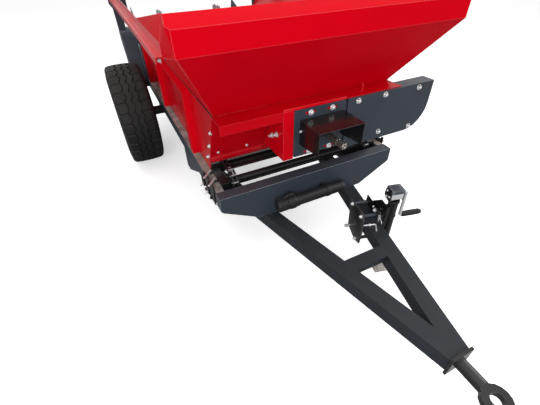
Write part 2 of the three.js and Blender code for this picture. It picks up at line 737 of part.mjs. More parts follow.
function axleBeam() {
  const tube = barX(axle.radius, -axle.end, axle.end, wheel.axleY, axleZ, roundSides);
  const stubs = barX(axle.stub, -axle.stubReach, axle.stubReach, wheel.axleY, axleZ);
  const saddle = block3(
    railInner, railOuter, wheel.axleY - axle.saddleHalf, wheel.axleY + axle.saddleHalf,
    axleZ - axle.saddleDrop / 2, railFoot - gap,
  );
  node('axle_tube', joined([tube, stubs, saddle, mirrored(saddle)]), black, 0.45, 0.3);
}

function drivePosts() {
  const under = hopper.bend - sheet.body - gap;
  const right = drive.postLeft + drive.postWidth;
  const flange = block3(drive.postLeft, right, ledge.front, ledge.front + sheet.post, postFoot, under);
  const reach = (z) => panelY(z) - (sheet.body + strip.thick) * 2;
  const sideOutline = (front) => [
    [front, postFoot],
    [front, under],
    [reach(under), under],
    [reach(postFoot), postFoot],
  ];
  const leftSide = alongX(sideOutline(ledge.front), drive.postLeft, drive.postLeft + sheet.post);
  const rearUnit = flangeBearingY(pto.x, ptoZ, drive.backPlate + drive.plate - weld, 1, pto.radius);
  const backFront = drive.backPlate;
  const rightSide = alongX(sideOutline(backFront), drive.rightPlate, drive.rightPlate + sheet.post);
  const half = drive.backWidth / 2;
  const back = block3(
    drive.postLeft, drive.rightPlate + sheet.post, backFront, backFront + drive.plate,
    ptoZ - half, ptoZ + half,
  );
  const hole = barY(boreFor(pto.radius), backFront - cutOver, backFront + drive.plate + cutOver, pto.x, ptoZ);
  node('drive_posts', joined([flange, leftSide, rightSide, back.subtract(hole), rearUnit]), red, 0.32, 0.1);
}

function slotPlaces() {
  const width = plateRight - plateLeft;
  const height = hopper.bend - sheet.body * 2 - plateFoot;
  return slots.xShare.flatMap((sx) => slots.zShare.map((sz) => [
    plateLeft + width * sx, plateFoot + height * sz,
  ]));
}

function roundedOutline(left, right, foot, top, radius) {
  return [
    ...arc(right - radius, foot + radius, radius, -quarterTurn, 0, arcSteps),
    ...arc(right - radius, top - radius, radius, 0, quarterTurn, arcSteps),
    ...arc(left + radius, top - radius, radius, quarterTurn, Math.PI, arcSteps),
    ...arc(left + radius, foot + radius, radius, Math.PI, Math.PI + quarterTurn, arcSteps),
  ];
}

function ptoBearingPlate() {
  const back = drive.plateFront + drive.plate;
  const top = hopper.bend - sheet.body * 2;
  const plate = alongY(
    roundedOutline(plateLeft, plateRight, plateFoot, top, drive.corner), drive.plateFront, back,
  );
  const bore = barY(
    pto.radius + cutOver, drive.plateFront - cutOver, back + cutOver, pto.x, ptoZ, roundSides,
  );
  const slotCuts = slotPlaces().map(([x, z]) => joined([
    block3(
      x - drive.slot / 2, x + drive.slot / 2, drive.plateFront - cutOver, back + cutOver,
      z - drive.slotRadius, z + drive.slotRadius,
    ),
    barY(drive.slotRadius, drive.plateFront - cutOver, back + cutOver, x - drive.slot / 2, z, smallSides),
    barY(drive.slotRadius, drive.plateFront - cutOver, back + cutOver, x + drive.slot / 2, z, smallSides),
  ]));
  const unit = flangeBearingY(pto.x, ptoZ, drive.plateFront + weld, -1, pto.radius);
  const heads = slotPlaces().map(([x, z]) => barY(
    bolt.head, drive.plateFront - bolt.height, drive.plateFront + weld, x, z, hexSides,
  ));
  node(
    'pto_bearing_plate', joined([cutBy(plate, [bore, ...slotCuts]), unit, ...heads]), anthracite, 0.42, 0.25,
  );
}

function ptoGuard() {
  const back = drive.plateFront - gap;
  const outline = folded([
    [guard.left, guardTop - guard.backDrop],
    [guard.left, guardTop],
    [guard.right, guardTop],
    [guard.right, guardTop - guard.backDrop],
  ], -sheet.guard);
  const shell = alongY(outline, guard.front, back);
  const under = alongX([
    [guard.front - cutOver, guardTop - guard.backDrop - cutOver],
    [guard.front - cutOver, guardTop - guard.frontDrop],
    [back + cutOver, guardTop - guard.backDrop - cutOver],
  ], guard.left - cutOver, guard.right + cutOver);
  node('pto_guard', shell.subtract(under), black, 0.5, 0.1);
}

function flangeBearingY(x, z, face, towards, shaftRadius) {
  const flange = face + towards * bearing.flange;
  const nose = face + towards * bearing.depth;
  const body = joined([
    barY(bearing.flangeRadius, Math.min(face, flange), Math.max(face, flange), x, z, smallSides),
    barY(bearing.boss, Math.min(face, nose), Math.max(face, nose), x, z, shaftSides),
  ]);
  const reach = bearing.depth + cutOver;
  return body.subtract(barY(boreFor(shaftRadius), face - reach, face + reach, x, z));
}

function flangeBearingX(y, z, face, towards, shaftRadius) {
  const flange = face + towards * bearing.flange;
  const nose = face + towards * bearing.depth;
  const body = joined([
    barX(bearing.flangeRadius, Math.min(face, flange), Math.max(face, flange), y, z, smallSides),
    barX(bearing.boss, Math.min(face, nose), Math.max(face, nose), y, z, shaftSides),
  ]);
  const reach = bearing.depth + cutOver;
  return body.subtract(barX(boreFor(shaftRadius), face - reach, face + reach, y, z));
}

function frontChainCase() {
  const top = hopper.bend - sheet.body - gap;
  const outline = (inset) => [
    [caseFront.left, top - inset],
    [caseFront.left, caseFoot + inset],
    ...arc(
      caseFront.right - caseFront.round, caseFoot + caseFront.round, caseFront.round - inset,
      -quarterTurn, 0, 6,
    ),
    [caseFront.right - inset, top - inset],
  ];
  const body = alongY(outline(0), caseFront.front, caseFront.back);
  const inner = alongY(outline(sheet.case), caseFront.front + sheet.case, caseFront.back - sheet.case);
  const mouth = block3(
    caseFront.left - cutOver, caseFront.left + sheet.case,
    caseFront.front + sheet.case, caseFront.back - sheet.case,
    caseFoot + sheet.case, top - sheet.case,
  );
  const shaftHole = barY(
    sideShaft.radius + cutOver, caseFront.back - cutOver * 2, caseFront.back + cutOver, sideShaft.x,
    driveZ,
  );
  const unit = flangeBearingY(sideShaft.x, driveZ, caseFront.back - weld, 1, sideShaft.radius);
  const width = caseFront.right - caseFront.left;
  const height = hopper.bend - caseFoot;
  const heads = caseBoltShares.map(([sx, sz]) => barY(
    bolt.head, caseFront.front - bolt.height, caseFront.front + weld,
    caseFront.left + width * sx, caseFoot + height * sz, hexSides,
  ));
  node(
    'chain_case_front', joined([cutBy(body, [inner, mouth, shaftHole]), unit, ...heads]), anthracite, 0.4,
    0.25,
  );
}

function stadium(a0, b0, a1, b1, radius, steps) {
  const tilt = Math.atan2(b1 - b0, a1 - a0);
  return [
    ...arc(a0, b0, radius, tilt + quarterTurn, tilt + quarterTurn * 3, steps),
    ...arc(a1, b1, radius, tilt - quarterTurn, tilt + quarterTurn, steps),
  ];
}

function driveChain() {
  const outer = chain.pitchRadius + chain.half;
  const inner = chain.pitchRadius - chain.half;
  const ends = [pto.x, ptoZ, sideShaft.x, driveZ];
  const band = (y) => alongY(stadium(...ends, outer, arcSteps), y, y + chain.plate)
    .subtract(alongY(stadium(...ends, inner, arcSteps), y - cutOver, y + chain.plate + cutOver));
  const front = chain.mid - chainBetween / 2 - chain.plate;
  const back = chain.mid + chainBetween / 2;
  const span = sideShaft.x - pto.x;
  const clear = sprocket.tip + chain.half * 2;
  const pins = Array.from({ length: chain.pins }, (_, i) => {
    const x = pto.x + clear + ((span - clear * 2) * i) / (chain.pins - 1);
    const z = ptoZ + ((driveZ - ptoZ) * (x - pto.x)) / span;
    return joined([
      barY(chain.half / 2, front + weld, back + weld, x, z + chain.pitchRadius, hexSides),
      barY(chain.half / 2, front + weld, back + weld, x, z - chain.pitchRadius, hexSides),
    ]);
  });
  node('drive_chain', joined([band(front), band(back), ...pins]), black, 0.45, 0.6);
}

function toothedWheel(teeth, root, tip) {
  return Array.from({ length: teeth * 4 }, (_, i) => {
    const angle = ((i + 0.5) * Math.PI) / (teeth * 2);
    const radius = i % 4 < 2 ? root : tip;
    return [radius * Math.cos(angle), radius * Math.sin(angle)];
  });
}

function sprocketY(x, z) {
  const outline = toothedWheel(sprocket.teeth, sprocket.root, sprocket.tip).map(([a, b]) => [a + x, b + z]);
  const half = sprocket.tooth / 2;
  const disc = alongY(outline, chain.mid - half, chain.mid + half);
  const boss = barY(sprocket.boss, chain.mid - half, chain.mid - half + sprocket.bossLength, x, z);
  return disc.add(boss);
}

function ptoShaft() {
  const bar = barY(pto.radius, pto.front, pto.rear, pto.x, ptoZ);
  const neck = barY(
    pto.radius + cutOver, pto.grooveFrom, pto.grooveFrom + pto.groove, pto.x, ptoZ, roundSides,
  )
    .subtract(barY(
      pto.radius - pto.grooveDepth, pto.grooveFrom - weld, pto.grooveFrom + pto.groove + weld, pto.x, ptoZ,
      roundSides,
    ));
  node('pto_shaft', bar.subtract(neck).add(sprocketY(pto.x, ptoZ)), silver, 0.35, 0.8);
}

function bevelGear(towards) {
  const start = bevel.gearStart;
  return [
    [0, -towards * start],
    [(bevel.gearRadius * start) / bevel.gearReach, -towards * start],
    [bevel.gearRadius, -towards * bevel.gearReach],
    [0, -towards * bevel.gearReach],
  ];
}

function sideDriveShaft() {
  const bar = barY(
    sideShaft.radius, sideShaft.front, rotor.y - bevel.gearReach + weld, sideShaft.x, driveZ, shaftSides,
  );
  const profile = bevelGear(1).map(([r, h]) => new THREE.Vector2(r, h));
  const cone = new THREE.LatheGeometry(profile, roundSides);
  cone.translate(sideShaft.x, rotor.y, driveZ);
  node(
    'side_drive_shaft', joined([bar, solidOf(cone), sprocketY(sideShaft.x, driveZ)]), black, 0.4, 0.5,
  );
}

function bevelBox() {
  const y0 = rotor.y - bevel.half;
  const y1 = rotor.y + bevel.half;
  const z0 = driveZ - bevel.half;
  const z1 = driveZ + bevel.half;
  const w = bevel.wall;
  const body = block3(bevel.inner, bevel.outer, y0, y1, z0, z1);
  const hollow = block3(bevel.inner + w, bevel.outer - w, y0 + w, y1 - w, z0 + w, z1 - w);
  const shaftIn = barY(sideShaft.radius + weld, y0 - cutOver, rotor.y, sideShaft.x, driveZ);
  const shaftOut = barX(rotor.shaft + weld, bevel.inner - cutOver, sideShaft.x, rotor.y, driveZ);
  const unit = flangeBearingY(sideShaft.x, driveZ, y0 + weld, -1, sideShaft.radius);
  node('bevel_gearbox', joined([cutBy(body, [hollow, shaftIn, shaftOut]), unit]), anthracite, 0.45, 0.3);
}

function rearCaseOutline(inset) {
  const rise = driveZ - floorShaft.z;
  const run = rotor.y - floorShaft.rearY;
  const length = Math.hypot(rise, run);
  const tilt = Math.atan2(rise, run);
  const lean = Math.asin((caseRear.topRadius - caseRear.footRadius) / length);
  return [
    ...arc(
      rotor.y, driveZ, caseRear.topRadius - inset, tilt - quarterTurn - lean, tilt + quarterTurn + lean, 12,
    ),
    ...arc(
      floorShaft.rearY, floorShaft.z, caseRear.footRadius - inset, tilt + quarterTurn + lean,
      tilt + quarterTurn * 3 - lean, arcSteps + 2,
    ),
  ];
}

function rearChainCase() {
  const body = alongX(rearCaseOutline(0), -caseRear.outer, -caseInner);
  const inner = alongX(
    rearCaseOutline(sheet.case), -caseRear.outer + sheet.case, -caseInner - sheet.case,
  );
  const holeA = barX(
    rotor.shaft + cutOver, -caseInner - cutOver * 2, -caseInner + cutOver, rotor.y, driveZ,
  );
  const holeB = barX(
    floorShaft.radius + cutOver, -caseInner - cutOver * 2, -caseInner + cutOver, floorShaft.rearY,
    floorShaft.z,
  );
  node('chain_case_rear', cutBy(body, [inner, holeA, holeB]), anthracite, 0.4, 0.25);
}

function rotorPanels() {
  const front = hopper.rear + gap;
  const slope = (hopper.rimHalf - hopper.wallHalf) / (hopper.rimHeight - hopper.bend);
  const kink = hopper.bend + (rotorPanel.innerEdge - hopper.wallHalf) / slope;
  const waist = hopper.bend - rotorPanel.waistDrop;
  const flangePlate = alongY([
    [railInner, rail.top + gap],
    [railOuter, rail.top + gap],
    [railOuter, waist],
    [rotorPanel.skirt, waist + (rotorPanel.skirtTop - waist) * rotorPanel.gussetShare],
    [rotorPanel.skirt, rotorPanel.skirtTop],
    [rotorPanel.upright, rotorPanel.top],
    [rotorPanel.innerEdge, rotorPanel.top],
    [rotorPanel.innerEdge, kink],
    [railInner, hopper.bend],
  ], front, front + rotorPanel.flange);
  const sidePlate = alongX([
    [front, rail.top + gap],
    [rotorPanel.rear, rail.top + gap],
    [rotorPanel.rear, rotorPanel.sideRearTop],
    [rotorPanel.rear - rotorPanel.sideSlope, rotorPanel.sideTop],
    [front, hopper.bend],
  ], railInner, railInner + rotorPanel.side);
  const tube = block3(
    rotorPanel.upright - rotorPanel.tube, rotorPanel.upright, front + rotorPanel.flange - weld,
    front + rotorPanel.flange + rotorPanel.tube, rotorPanel.tubeFoot, rotorPanel.top - rotorPanel.tube - gap,
  );
  const shaftHole = barX(rotor.shaft + cutOver, railInner - cutOver, railOuter, rotor.y, driveZ);
  const floorHole = barX(
    floorShaft.radius + cutOver, railInner - cutOver, railOuter, floorShaft.rearY, floorShaft.z,
  );
  const unit = flangeBearingX(rotor.y, driveZ, railInner + rotorPanel.side - weld, 1, rotor.shaft);
  const panel = cutBy(joined([flangePlate, sidePlate, tube]), [shaftHole, floorHole]);
  pair('rotor_panel', panel.add(unit), anthracite, 0.42, 0.25);
  const beamFront = front + rotorPanel.flange + gap;
  node('rear_top_beam', boxTube(
    -rotorPanel.upright, rotorPanel.upright, beamFront, beamFront + rotorPanel.tube,
    rotorPanel.top - rotorPanel.tube, rotorPanel.top, rail.wall, 'x',
  ), anthracite, 0.42, 0.25);
}

function rotorAssembly() {
  const tube = barX(rotor.tube, -rotor.end, rotor.end, rotor.y, driveZ, roundSides);
  const discs = [[-rotor.end, rotor.endDisc - rotor.end], [rotor.end - rotor.endDisc, rotor.end]].map(
    ([x0, x1]) => barX(rotor.endDiscRadius, x0, x1, rotor.y, driveZ, roundSides),
  );
  const shaft = barX(
    rotor.shaft, -caseRear.outer + sheet.case * 3, sideShaft.x - bevel.gearReach + weld, rotor.y, driveZ,
  );
  const profile = bevelGear(1).map(([r, h]) => new THREE.Vector2(r, h));
  const cone = new THREE.LatheGeometry(profile, roundSides);
  cone.rotateZ(-quarterTurn);
  cone.translate(sideShaft.x, rotor.y, driveZ);
  const cam = barX(
    sprocket.root, -caseRear.outer + sheet.case * 4, -caseRear.outer + sheet.case * 4 + caseRear.feedThick,
    rotor.y, driveZ,
  );
  node('rotor_shaft', joined([shaft, solidOf(cone), cam]), black, 0.5, 0.4);
  const inner = rotor.end - rotor.endDisc - rotor.toothWidth;
  const blades = Array.from({ length: rotor.blades }, (_, i) => {
    const share = i / (rotor.blades - 1);
    const hand = share < 0.5 ? 1 : -1;
    const x = -inner + 2 * inner * share;
    const angle = hand * rotor.turnsShare * 2 * Math.PI * share + Math.PI * (i % 2);
    const root = rotor.tube - 2;
    const neck = rotor.neckWidth / 2;
    const wide = rotor.toothWidth / 2;
    const tip = rotor.tip;
    const shoulder = tip - wide;
    const step = wide / 2;
    const blade = new THREE.ExtrudeGeometry(shapeOf([
      [-neck, root],
      [neck, root],
      [wide, shoulder],
      [wide, tip - step],
      [step, tip - step],
      [step, tip - step / 3],
      [0, tip - step],
      [-step / 2, tip],
      [-wide, tip - step / 2],
      [-wide, shoulder],
    ]), { depth: rotor.blade, bevelEnabled: false });
    blade.translate(0, 0, -rotor.blade / 2);
    blade.rotateY(hand * quarterTurn / 2);
    blade.rotateX(angle);
    blade.translate(x, rotor.y, driveZ);
    return solidOf(blade);
  });
  const bore = barX(rotor.shaft + gap, -rotor.end - cutOver, rotor.end + cutOver, rotor.y, driveZ);
  node('rotor_drum', joined([tube, ...discs, ...blades]).subtract(bore), silver, 0.4, 0.75);
}

function floorSprocket(y) {
  const outline = toothedWheel(
    floorChain.teeth, floorChain.root, floorChain.tip,
  ).map(([a, b]) => [a + y, b + floorShaft.z]);
  const half = floorChain.tooth / 2;
  return [-1, 1].map((s) => alongX(outline, s * floorChain.x - half, s * floorChain.x + half));
}

function floorShafts() {
  const half = floorShaft.frontHalf;
  const front = barX(floorShaft.radius, -half, half, floorShaft.frontY, floorShaft.z);
  node('front_floor_shaft', joined([front, ...floorSprocket(floorShaft.frontY)]), black, 0.45, 0.5);
  const end = -caseRear.outer + sheet.case * 3;
  const rear = barX(floorShaft.radius, end, railOuter, floorShaft.rearY, floorShaft.z);
  const wheelIn = end + sheet.case;
  const feed = barX(
    caseRear.feedWheel, wheelIn, wheelIn + caseRear.feedThick, floorShaft.rearY, floorShaft.z, roundSides,
  );
  node('rear_floor_shaft', joined([rear, feed, ...floorSprocket(floorShaft.rearY)]), black, 0.45, 0.5);
}

// The two side plates of each chain, cut from one side view
function chainPlates(outline) {
  const halfIn = floorChain.between / 2;
  return [-1, 1].flatMap((s) => [
    s * floorChain.x - halfIn - floorChain.plate, s * floorChain.x + halfIn,
  ]).map((x) => alongX(outline, x, x + floorChain.plate));
}

function chainPins(y, z) {
  const reach = floorChain.between / 2 + weld;
  return [-1, 1].map((s) => barX(
    floorChain.plate / 2, s * floorChain.x - reach, s * floorChain.x + reach, y, z, hexSides,
  ));
}

// An angle bar from chain to chain; its upright leg points away from the shafts
function slatBar(y, up) {
  const half = floorChain.x - floorChain.between / 2 - floorChain.plate + weld;
  const foot = floorShaft.z + up * (floorChain.pitchRadius - slat.height / 2);
  return alongX(folded([
    [y, foot],
    [y + slat.depth, foot],
    [y + slat.depth, foot + up * slat.height],
  ], up * slat.foot), -half, half);
}

function conveyorRun(name, up) {
  const front = floorShaft.frontY + turnReach + gap;
  const rear = floorShaft.rearY - turnReach - gap;
  const middle = floorShaft.z + up * floorChain.pitchRadius;
  const half = floorChain.thick / 2;
  const plates = chainPlates([
    [front, middle - half],
    [rear, middle - half],
    [rear, middle + half],
    [front, middle + half],
  ]);
  const pinRun = rear - front - slat.depth * 2;
  const pins = Array.from({ length: slat.count }, (_, i) => chainPins(
    front + slat.depth + (pinRun * i) / (slat.count - 1), middle,
  )).flat();
  const pitch = (floorShaft.rearY - floorChain.tip - slat.first) / slat.count;
  const bars = Array.from({ length: slat.count }, (_, i) => slatBar(slat.first + pitch * i, up));
  node(name, joined([...plates, ...pins, ...bars]), black, 0.5, 0.6);
}

// The chains' way round a shaft's sprockets, with a slat above and one below
function conveyorTurn(name, y, towards) {
  const end = y - towards * turnReach;
  const half = floorChain.thick / 2;
  const round = (radius) => [
    [end, floorShaft.z + radius],
    ...arc(y, floorShaft.z, radius, quarterTurn, quarterTurn * 3, arcSteps)
      .map(([a, b]) => [y - towards * (a - y), b]),
    [end, floorShaft.z - radius],
  ];
  const plates = chainPlates([
    ...round(floorChain.pitchRadius + half), ...round(floorChain.pitchRadius - half).reverse(),
  ]);
  const pinY = end + towards * floorChain.plate;
  const slatY = towards > 0 ? end + floorChain.thick : end - floorChain.thick - slat.depth;
  const bars = [1, -1].flatMap((up) => [
    ...chainPins(pinY, floorShaft.z + up * floorChain.pitchRadius), slatBar(slatY, up),
  ]);
  node(name, joined([...plates, ...bars]), black, 0.5, 0.6);
}

function floorConveyor() {
  conveyorRun('conveyor_top', 1);
  conveyorRun('conveyor_return', -1);
  conveyorTurn('conveyor_front_turn', floorShaft.frontY, -1);
  conveyorTurn('conveyor_rear_turn', floorShaft.rearY, 1);
}

function tensionBlocks() {
  const x1 = railInner - gap;
  const x0 = x1 - block.thick;
  const front = block.front;
  const rear = block.rear;
  const upper = rail.top + gap + clamp.radius;
  const lower = railFoot - gap - clamp.radius;
  const foot = lower - clamp.radius * 2;
  const top = upper + clamp.radius * 2;
  const inside = block3(x0, x1, front, rear, foot, top);
  const bore = barX(boreFor(floorShaft.radius), x0 - cutOver, x1 + cutOver, floorShaft.frontY, floorShaft.z);
  const out0 = railOuter + gap;
  const out1 = out0 + clamp.plate;
  const outside = block3(out0, out1, front, rear, foot, top);
  const rods = clamp.places.flatMap((y) => [upper, lower].map((z) => joined([
    barX(clamp.radius, x1 - weld, out1 + clamp.past, y, z, smallSides),
    barX(clamp.nutRadius, out1 - weld, out1 + clamp.nut, y, z, hexSides),
  ])));
  pair('tension_block', joined([inside.subtract(bore), outside, ...rods]), black, 0.5, 0.4);
}

function canisterAssembly() {
  const bodyLeft = canister.left + canister.cap + gap;
  const body = barX(canister.radius, bodyLeft, canister.right, canister.y, canister.z, roundSides);
  const hollow = barX(
    canister.radius - canister.wall, bodyLeft - cutOver, canister.right - canister.wall, canister.y,
    canister.z, roundSides,
  );
  const capOutline = Array.from({ length: canister.ribs * 2 }, (_, i) => {
    const angle = (i * Math.PI) / canister.ribs;
    const radius = canister.capRadius - (i % 2) * canister.rib;
    return [canister.y + radius * Math.cos(angle), canister.z + radius * Math.sin(angle)];
  });
  node('canister_cap', alongX(capOutline, canister.left, bodyLeft - gap), black, 0.55, 0);
  const clips = canisterClip.places.map((x) => {
    const half = canisterClip.width / 2;
    const ring = barX(
      canister.radius + canisterClip.thick, x - half, x + half, canister.y, canister.z, roundSides,
    );
    const foot = block3(
      x - half, x + half, canister.y + canister.radius, -gap,
      canister.z - canister.radius / 2, canister.z + canister.radius / 2,
    );
    return ring.add(foot);
  });
  node('canister_body', joined([body, ...clips]).subtract(hollow), black, 0.55, 0);
}

function jackPlates() {
  const foot = [jackPlate.frontLow, jackPlate.heel, jackPlate.backLow];
  const outerOutline = [...foot, jackPlate.outerBack, jackPlate.outerFront, jackPlate.outerWaist];
  const innerOutline = [...foot, jackPlate.innerBack, jackPlate.innerFront, jackPlate.innerWaist];
  const outerIn = -jack.offset + gap;
  const innerOut = -jack.offset - leg.size - gap;
  const pinHole = barX(
    lockPin.radius + gap, innerOut - jackPlate.thick * 2, outerIn + jackPlate.thick * 2,
    lockPin.v, lockPin.z, smallSides,
  );
  const pivotHole = barX(
    boreFor(jackPivot.radius), outerIn - cutOver, outerIn + jackPlate.thick + cutOver, jackPivot.v,
    jackPivot.z,
  );
  const plates = joined([
    alongX(outerOutline, outerIn, outerIn + jackPlate.thick),
    alongX(innerOutline, innerOut - jackPlate.thick, innerOut),
  ]);
  const headIn = innerOut - jackPlate.thick - jackRod.head;
  const headOut = innerOut - jackPlate.thick + weld;
  const rods = jackRod.places.map(([v, z]) => joined([
    barX(jackRod.radius, headIn, outerIn + jackPlate.thick, v, z, smallSides),
    barX(jackRod.headRadius, headIn, headOut, v, z, hexSides),
  ]));
  node('jack_bracket', joined([cutBy(plates, [pinHole, pivotHole]), ...rods]), black, 0.5, 0.3, jackFrame);
}

function jackLockPin() {
  const outer = -jack.offset + gap + jackPlate.thick;
  const inner = -jack.offset - leg.size - gap - jackPlate.thick;
  const pin = joined([
    barX(lockPin.radius, inner - lockPin.past, outer, lockPin.v, lockPin.z, smallSides),
    barX(
      lockPin.head, inner - lockPin.past - lockPin.headLength, inner - lockPin.past, lockPin.v, lockPin.z,
      smallSides,
    ),
  ]);
  node('jack_lock_pin', pin, zinc, 0.35, 0.8, jackFrame);
}

function jackBody() {
  const plateOut = -jack.offset + gap + jackPlate.thick;
  const tube = barZ(jack.tube, jack.tubeFoot, jack.tubeTop, 0, 0, roundSides)
    .subtract(barZ(
      jack.tube - jack.tubeWall, jack.tubeFoot - cutOver, jack.tubeTop + cutOver, 0, 0, roundSides,
    ));
  node('jack_tube', tube, black, 0.45, 0.3, jackFrame);
  const headTop = jack.tubeTop + gap + jackHead.height;
  const headFront = jackHead.back - jackHead.depth / 2;
  const shaftHole = barX(
    boreFor(crank.shaft), jackHead.half - crank.stand, jackHead.half + cutOver, crank.shaftV, crank.z,
  );
  const head = block3(
    -jackHead.half, jackHead.half, headFront, headFront + jackHead.depth, jack.tubeTop + gap, headTop,
  ).subtract(shaftHole);
  node('jack_head', head, zinc, 0.35, 0.8, jackFrame);
  const x0 = plateOut + gap;
  const x1 = x0 + swivel.thick;
  const plate = alongX([
    [swivel.front, swivel.top],
    [swivel.kneeV, swivel.top],
    [swivel.back, swivel.kneeZ],
    [swivel.back, swivel.foot],
    [swivel.front, swivel.foot],
  ], x0, x1);
  const saddle = block3(x0, 0, swivel.front, -swivel.front, swivel.foot, swivel.top);
  const tubeClear = barZ(jack.tube + gap, swivel.foot - cutOver, swivel.top + cutOver, 0, 0, roundSides);
  const washerOut = x0 - jackPlate.thick - gap * 3;
  const washerIn = washerOut - jackPivot.washerThick;
  const pivot = joined([
    barX(jackPivot.radius, washerIn, x1, jackPivot.v, jackPivot.z),
    barX(jackPivot.washer, washerIn, washerOut, jackPivot.v, jackPivot.z),
  ]);
  node('jack_swivel_plate', joined([plate, saddle, pivot]).subtract(tubeClear), black, 0.45, 0.3, jackFrame);
}

function jackInnerLeg() {
  const bar = barZ(jack.tube - jack.tubeWall - gap, 0, innerLeg.top, 0, 0, roundSides);
  const across = innerLeg.footAcross;
  const plate = block3(-across, across, -innerLeg.footFront, innerLeg.footBack, 0, innerLeg.foot);
  const holeFront = innerLeg.hole - innerLeg.footFront;
  const holeBack = innerLeg.footBack - innerLeg.hole;
  const holeAcross = across - innerLeg.hole;
  const places = [-holeAcross, holeAcross].flatMap((u) => [[u, holeFront], [u, holeBack]]);
  const holes = places.map(([u, v]) => barZ(
    innerLeg.hole / 2, -cutOver, innerLeg.foot + cutOver, u, v, smallSides,
  ));
  node('jack_inner_leg', cutBy(bar.add(plate), holes), zinc, 0.4, 0.7, jackFrame);
}

function jackCrank() {
  const x0 = jackHead.half - crank.stand + weld;
  const armIn = jackHead.half + jackHead.crankClear;
  const armOut = armIn + crank.thick;
  const v = crank.shaftV;
  const low = crank.z - crank.reach;
  const arm = alongX([
    ...arc(v, crank.z, crank.arm / 2, 0, Math.PI, arcSteps),
    ...arc(v, low, crank.arm / 2, Math.PI, 2 * Math.PI, arcSteps),
  ], armIn, armOut);
  const shaft = barX(crank.shaft, x0, armOut, v, crank.z);
  const spindle = barX(crank.spindle, armOut - weld, armOut + crank.gripLength, v, low);
  node('crank_arm', joined([arm, shaft, spindle]), zinc, 0.35, 0.8, jackFrame);
  const grip = barX(crank.grip, armOut + gap, armOut + gap + crank.gripLength, v, low, shaftSides)
    .subtract(barX(
      boreFor(crank.spindle), armOut - cutOver, armOut + crank.gripLength + gap, v, low,
    ));
  node('crank_grip', grip, black, 0.6, 0, jackFrame);
}

sideRails();
frontBeam();
rearBeamTube();
drawbarLegs();
crossMember();
hangers();
hitchEye();
hopperFloor();
hopperSides();
hopperFrontLower();
hopperFrontFlare();
sidePosts();
wheels();
axleBeam();
drivePosts();
ptoBearingPlate();
ptoGuard();
frontChainCase();
driveChain();
ptoShaft();
sideDriveShaft();
bevelBox();
rearChainCase();
rotorPanels();
rotorAssembly();
floorShafts();
floorConveyor();
tensionBlocks();
canisterAssembly();
jackPlates();
jackLockPin();
jackBody();
jackInnerLeg();
jackCrank();

// The jack stands beside the left leg, square to it
const jackX = legOuter(jack.along) + jack.offset / Math.cos(legAngle);
jackFrame.position.set(jackX, jack.along, 0);
jackFrame.rotation.z = -legAngle;
machine.add(jackFrame);
machine.position.y = -(frontTip + rotorPanel.rear) / 2;

export default machine;
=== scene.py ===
import bpy
import json
import math
from mathutils import Matrix, Vector


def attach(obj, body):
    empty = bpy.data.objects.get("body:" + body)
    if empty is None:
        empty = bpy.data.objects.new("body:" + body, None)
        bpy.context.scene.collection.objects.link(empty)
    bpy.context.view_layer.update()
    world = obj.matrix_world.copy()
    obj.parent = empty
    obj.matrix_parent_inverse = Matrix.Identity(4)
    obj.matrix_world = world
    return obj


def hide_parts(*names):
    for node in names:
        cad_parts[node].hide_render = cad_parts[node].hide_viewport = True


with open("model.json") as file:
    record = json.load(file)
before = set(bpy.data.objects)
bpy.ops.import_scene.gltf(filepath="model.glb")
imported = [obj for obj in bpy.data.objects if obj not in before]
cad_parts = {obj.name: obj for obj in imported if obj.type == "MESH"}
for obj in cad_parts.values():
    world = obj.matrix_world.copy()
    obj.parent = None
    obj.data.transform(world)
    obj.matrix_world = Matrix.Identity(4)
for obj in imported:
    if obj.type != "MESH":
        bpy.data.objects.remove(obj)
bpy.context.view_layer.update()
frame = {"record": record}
print("frame loaded")


def newGroup(name, inputs, outputs):
    group = bpy.data.node_groups.new(name, "ShaderNodeTree")
    for label, kind, value in inputs:
        socket = group.interface.new_socket(name=label, in_out="INPUT", socket_type=kind)
        socket.default_value = value
    for label, kind in outputs:
        group.interface.new_socket(name=label, in_out="OUTPUT", socket_type=kind)
    return group, group.nodes.new("NodeGroupInput"), group.nodes.new("NodeGroupOutput")


def addNode(tree, kind, **settings):
    node = tree.nodes.new(kind)
    for key, value in settings.items():
        setattr(node, key, value)
    return node


# links what comes from another node, and types in what is a plain value
def feed(tree, node, values):
    for key, value in values.items():
        if hasattr(value, "is_linked"):
            tree.links.new(value, node.inputs[key])
        else:
            node.inputs[key].default_value = value


def mixColour(tree, factor, colourA, colourB):
    node = addNode(tree, "ShaderNodeMix", data_type="RGBA")
    feed(tree, node, {0: factor, 6: colourA, 7: colourB})
    return node.outputs[2]


def mathNode(tree, operation, first, second, clamp=False):
    node = addNode(tree, "ShaderNodeMath", operation=operation, use_clamp=clamp)
    feed(tree, node, {0: first, 1: second})
    return node.outputs[0]


def mapRange(tree, value, low, high, toLow=0.0, toHigh=1.0):
    node = addNode(tree, "ShaderNodeMapRange")
    feed(tree, node, dict(enumerate((value, low, high, toLow, toHigh))))
    return node.outputs[0]


def addNoise(tree, place, **values):
    node = addNode(tree, "ShaderNodeTexNoise")
    feed(tree, node, dict(values, Vector=place))
    return node.outputs["Fac"]


surfaceLook = {
    "bevelSamples": 4, "edgeRange": (0.995, 0.9), "driftDetail": 3.0, "grainScale": 420.0,
    "grainDetail": 2.0, "scuffStretch": (14.0, 1.4, 22.0), "scuffTurn": (0.3, 0.5, 0.4),
    "scuffScale": 9.0, "scuffDetail": 6.0, "scuffRoughness": 0.75, "scuffRange": (0.62, 0.74),
    "dustScale": 11.0, "dustDetail": 5.0, "dustSlope": (0.35, 1.0), "dustPatch": (0.35, 0.7),
    "dustThin": 0.35,
}


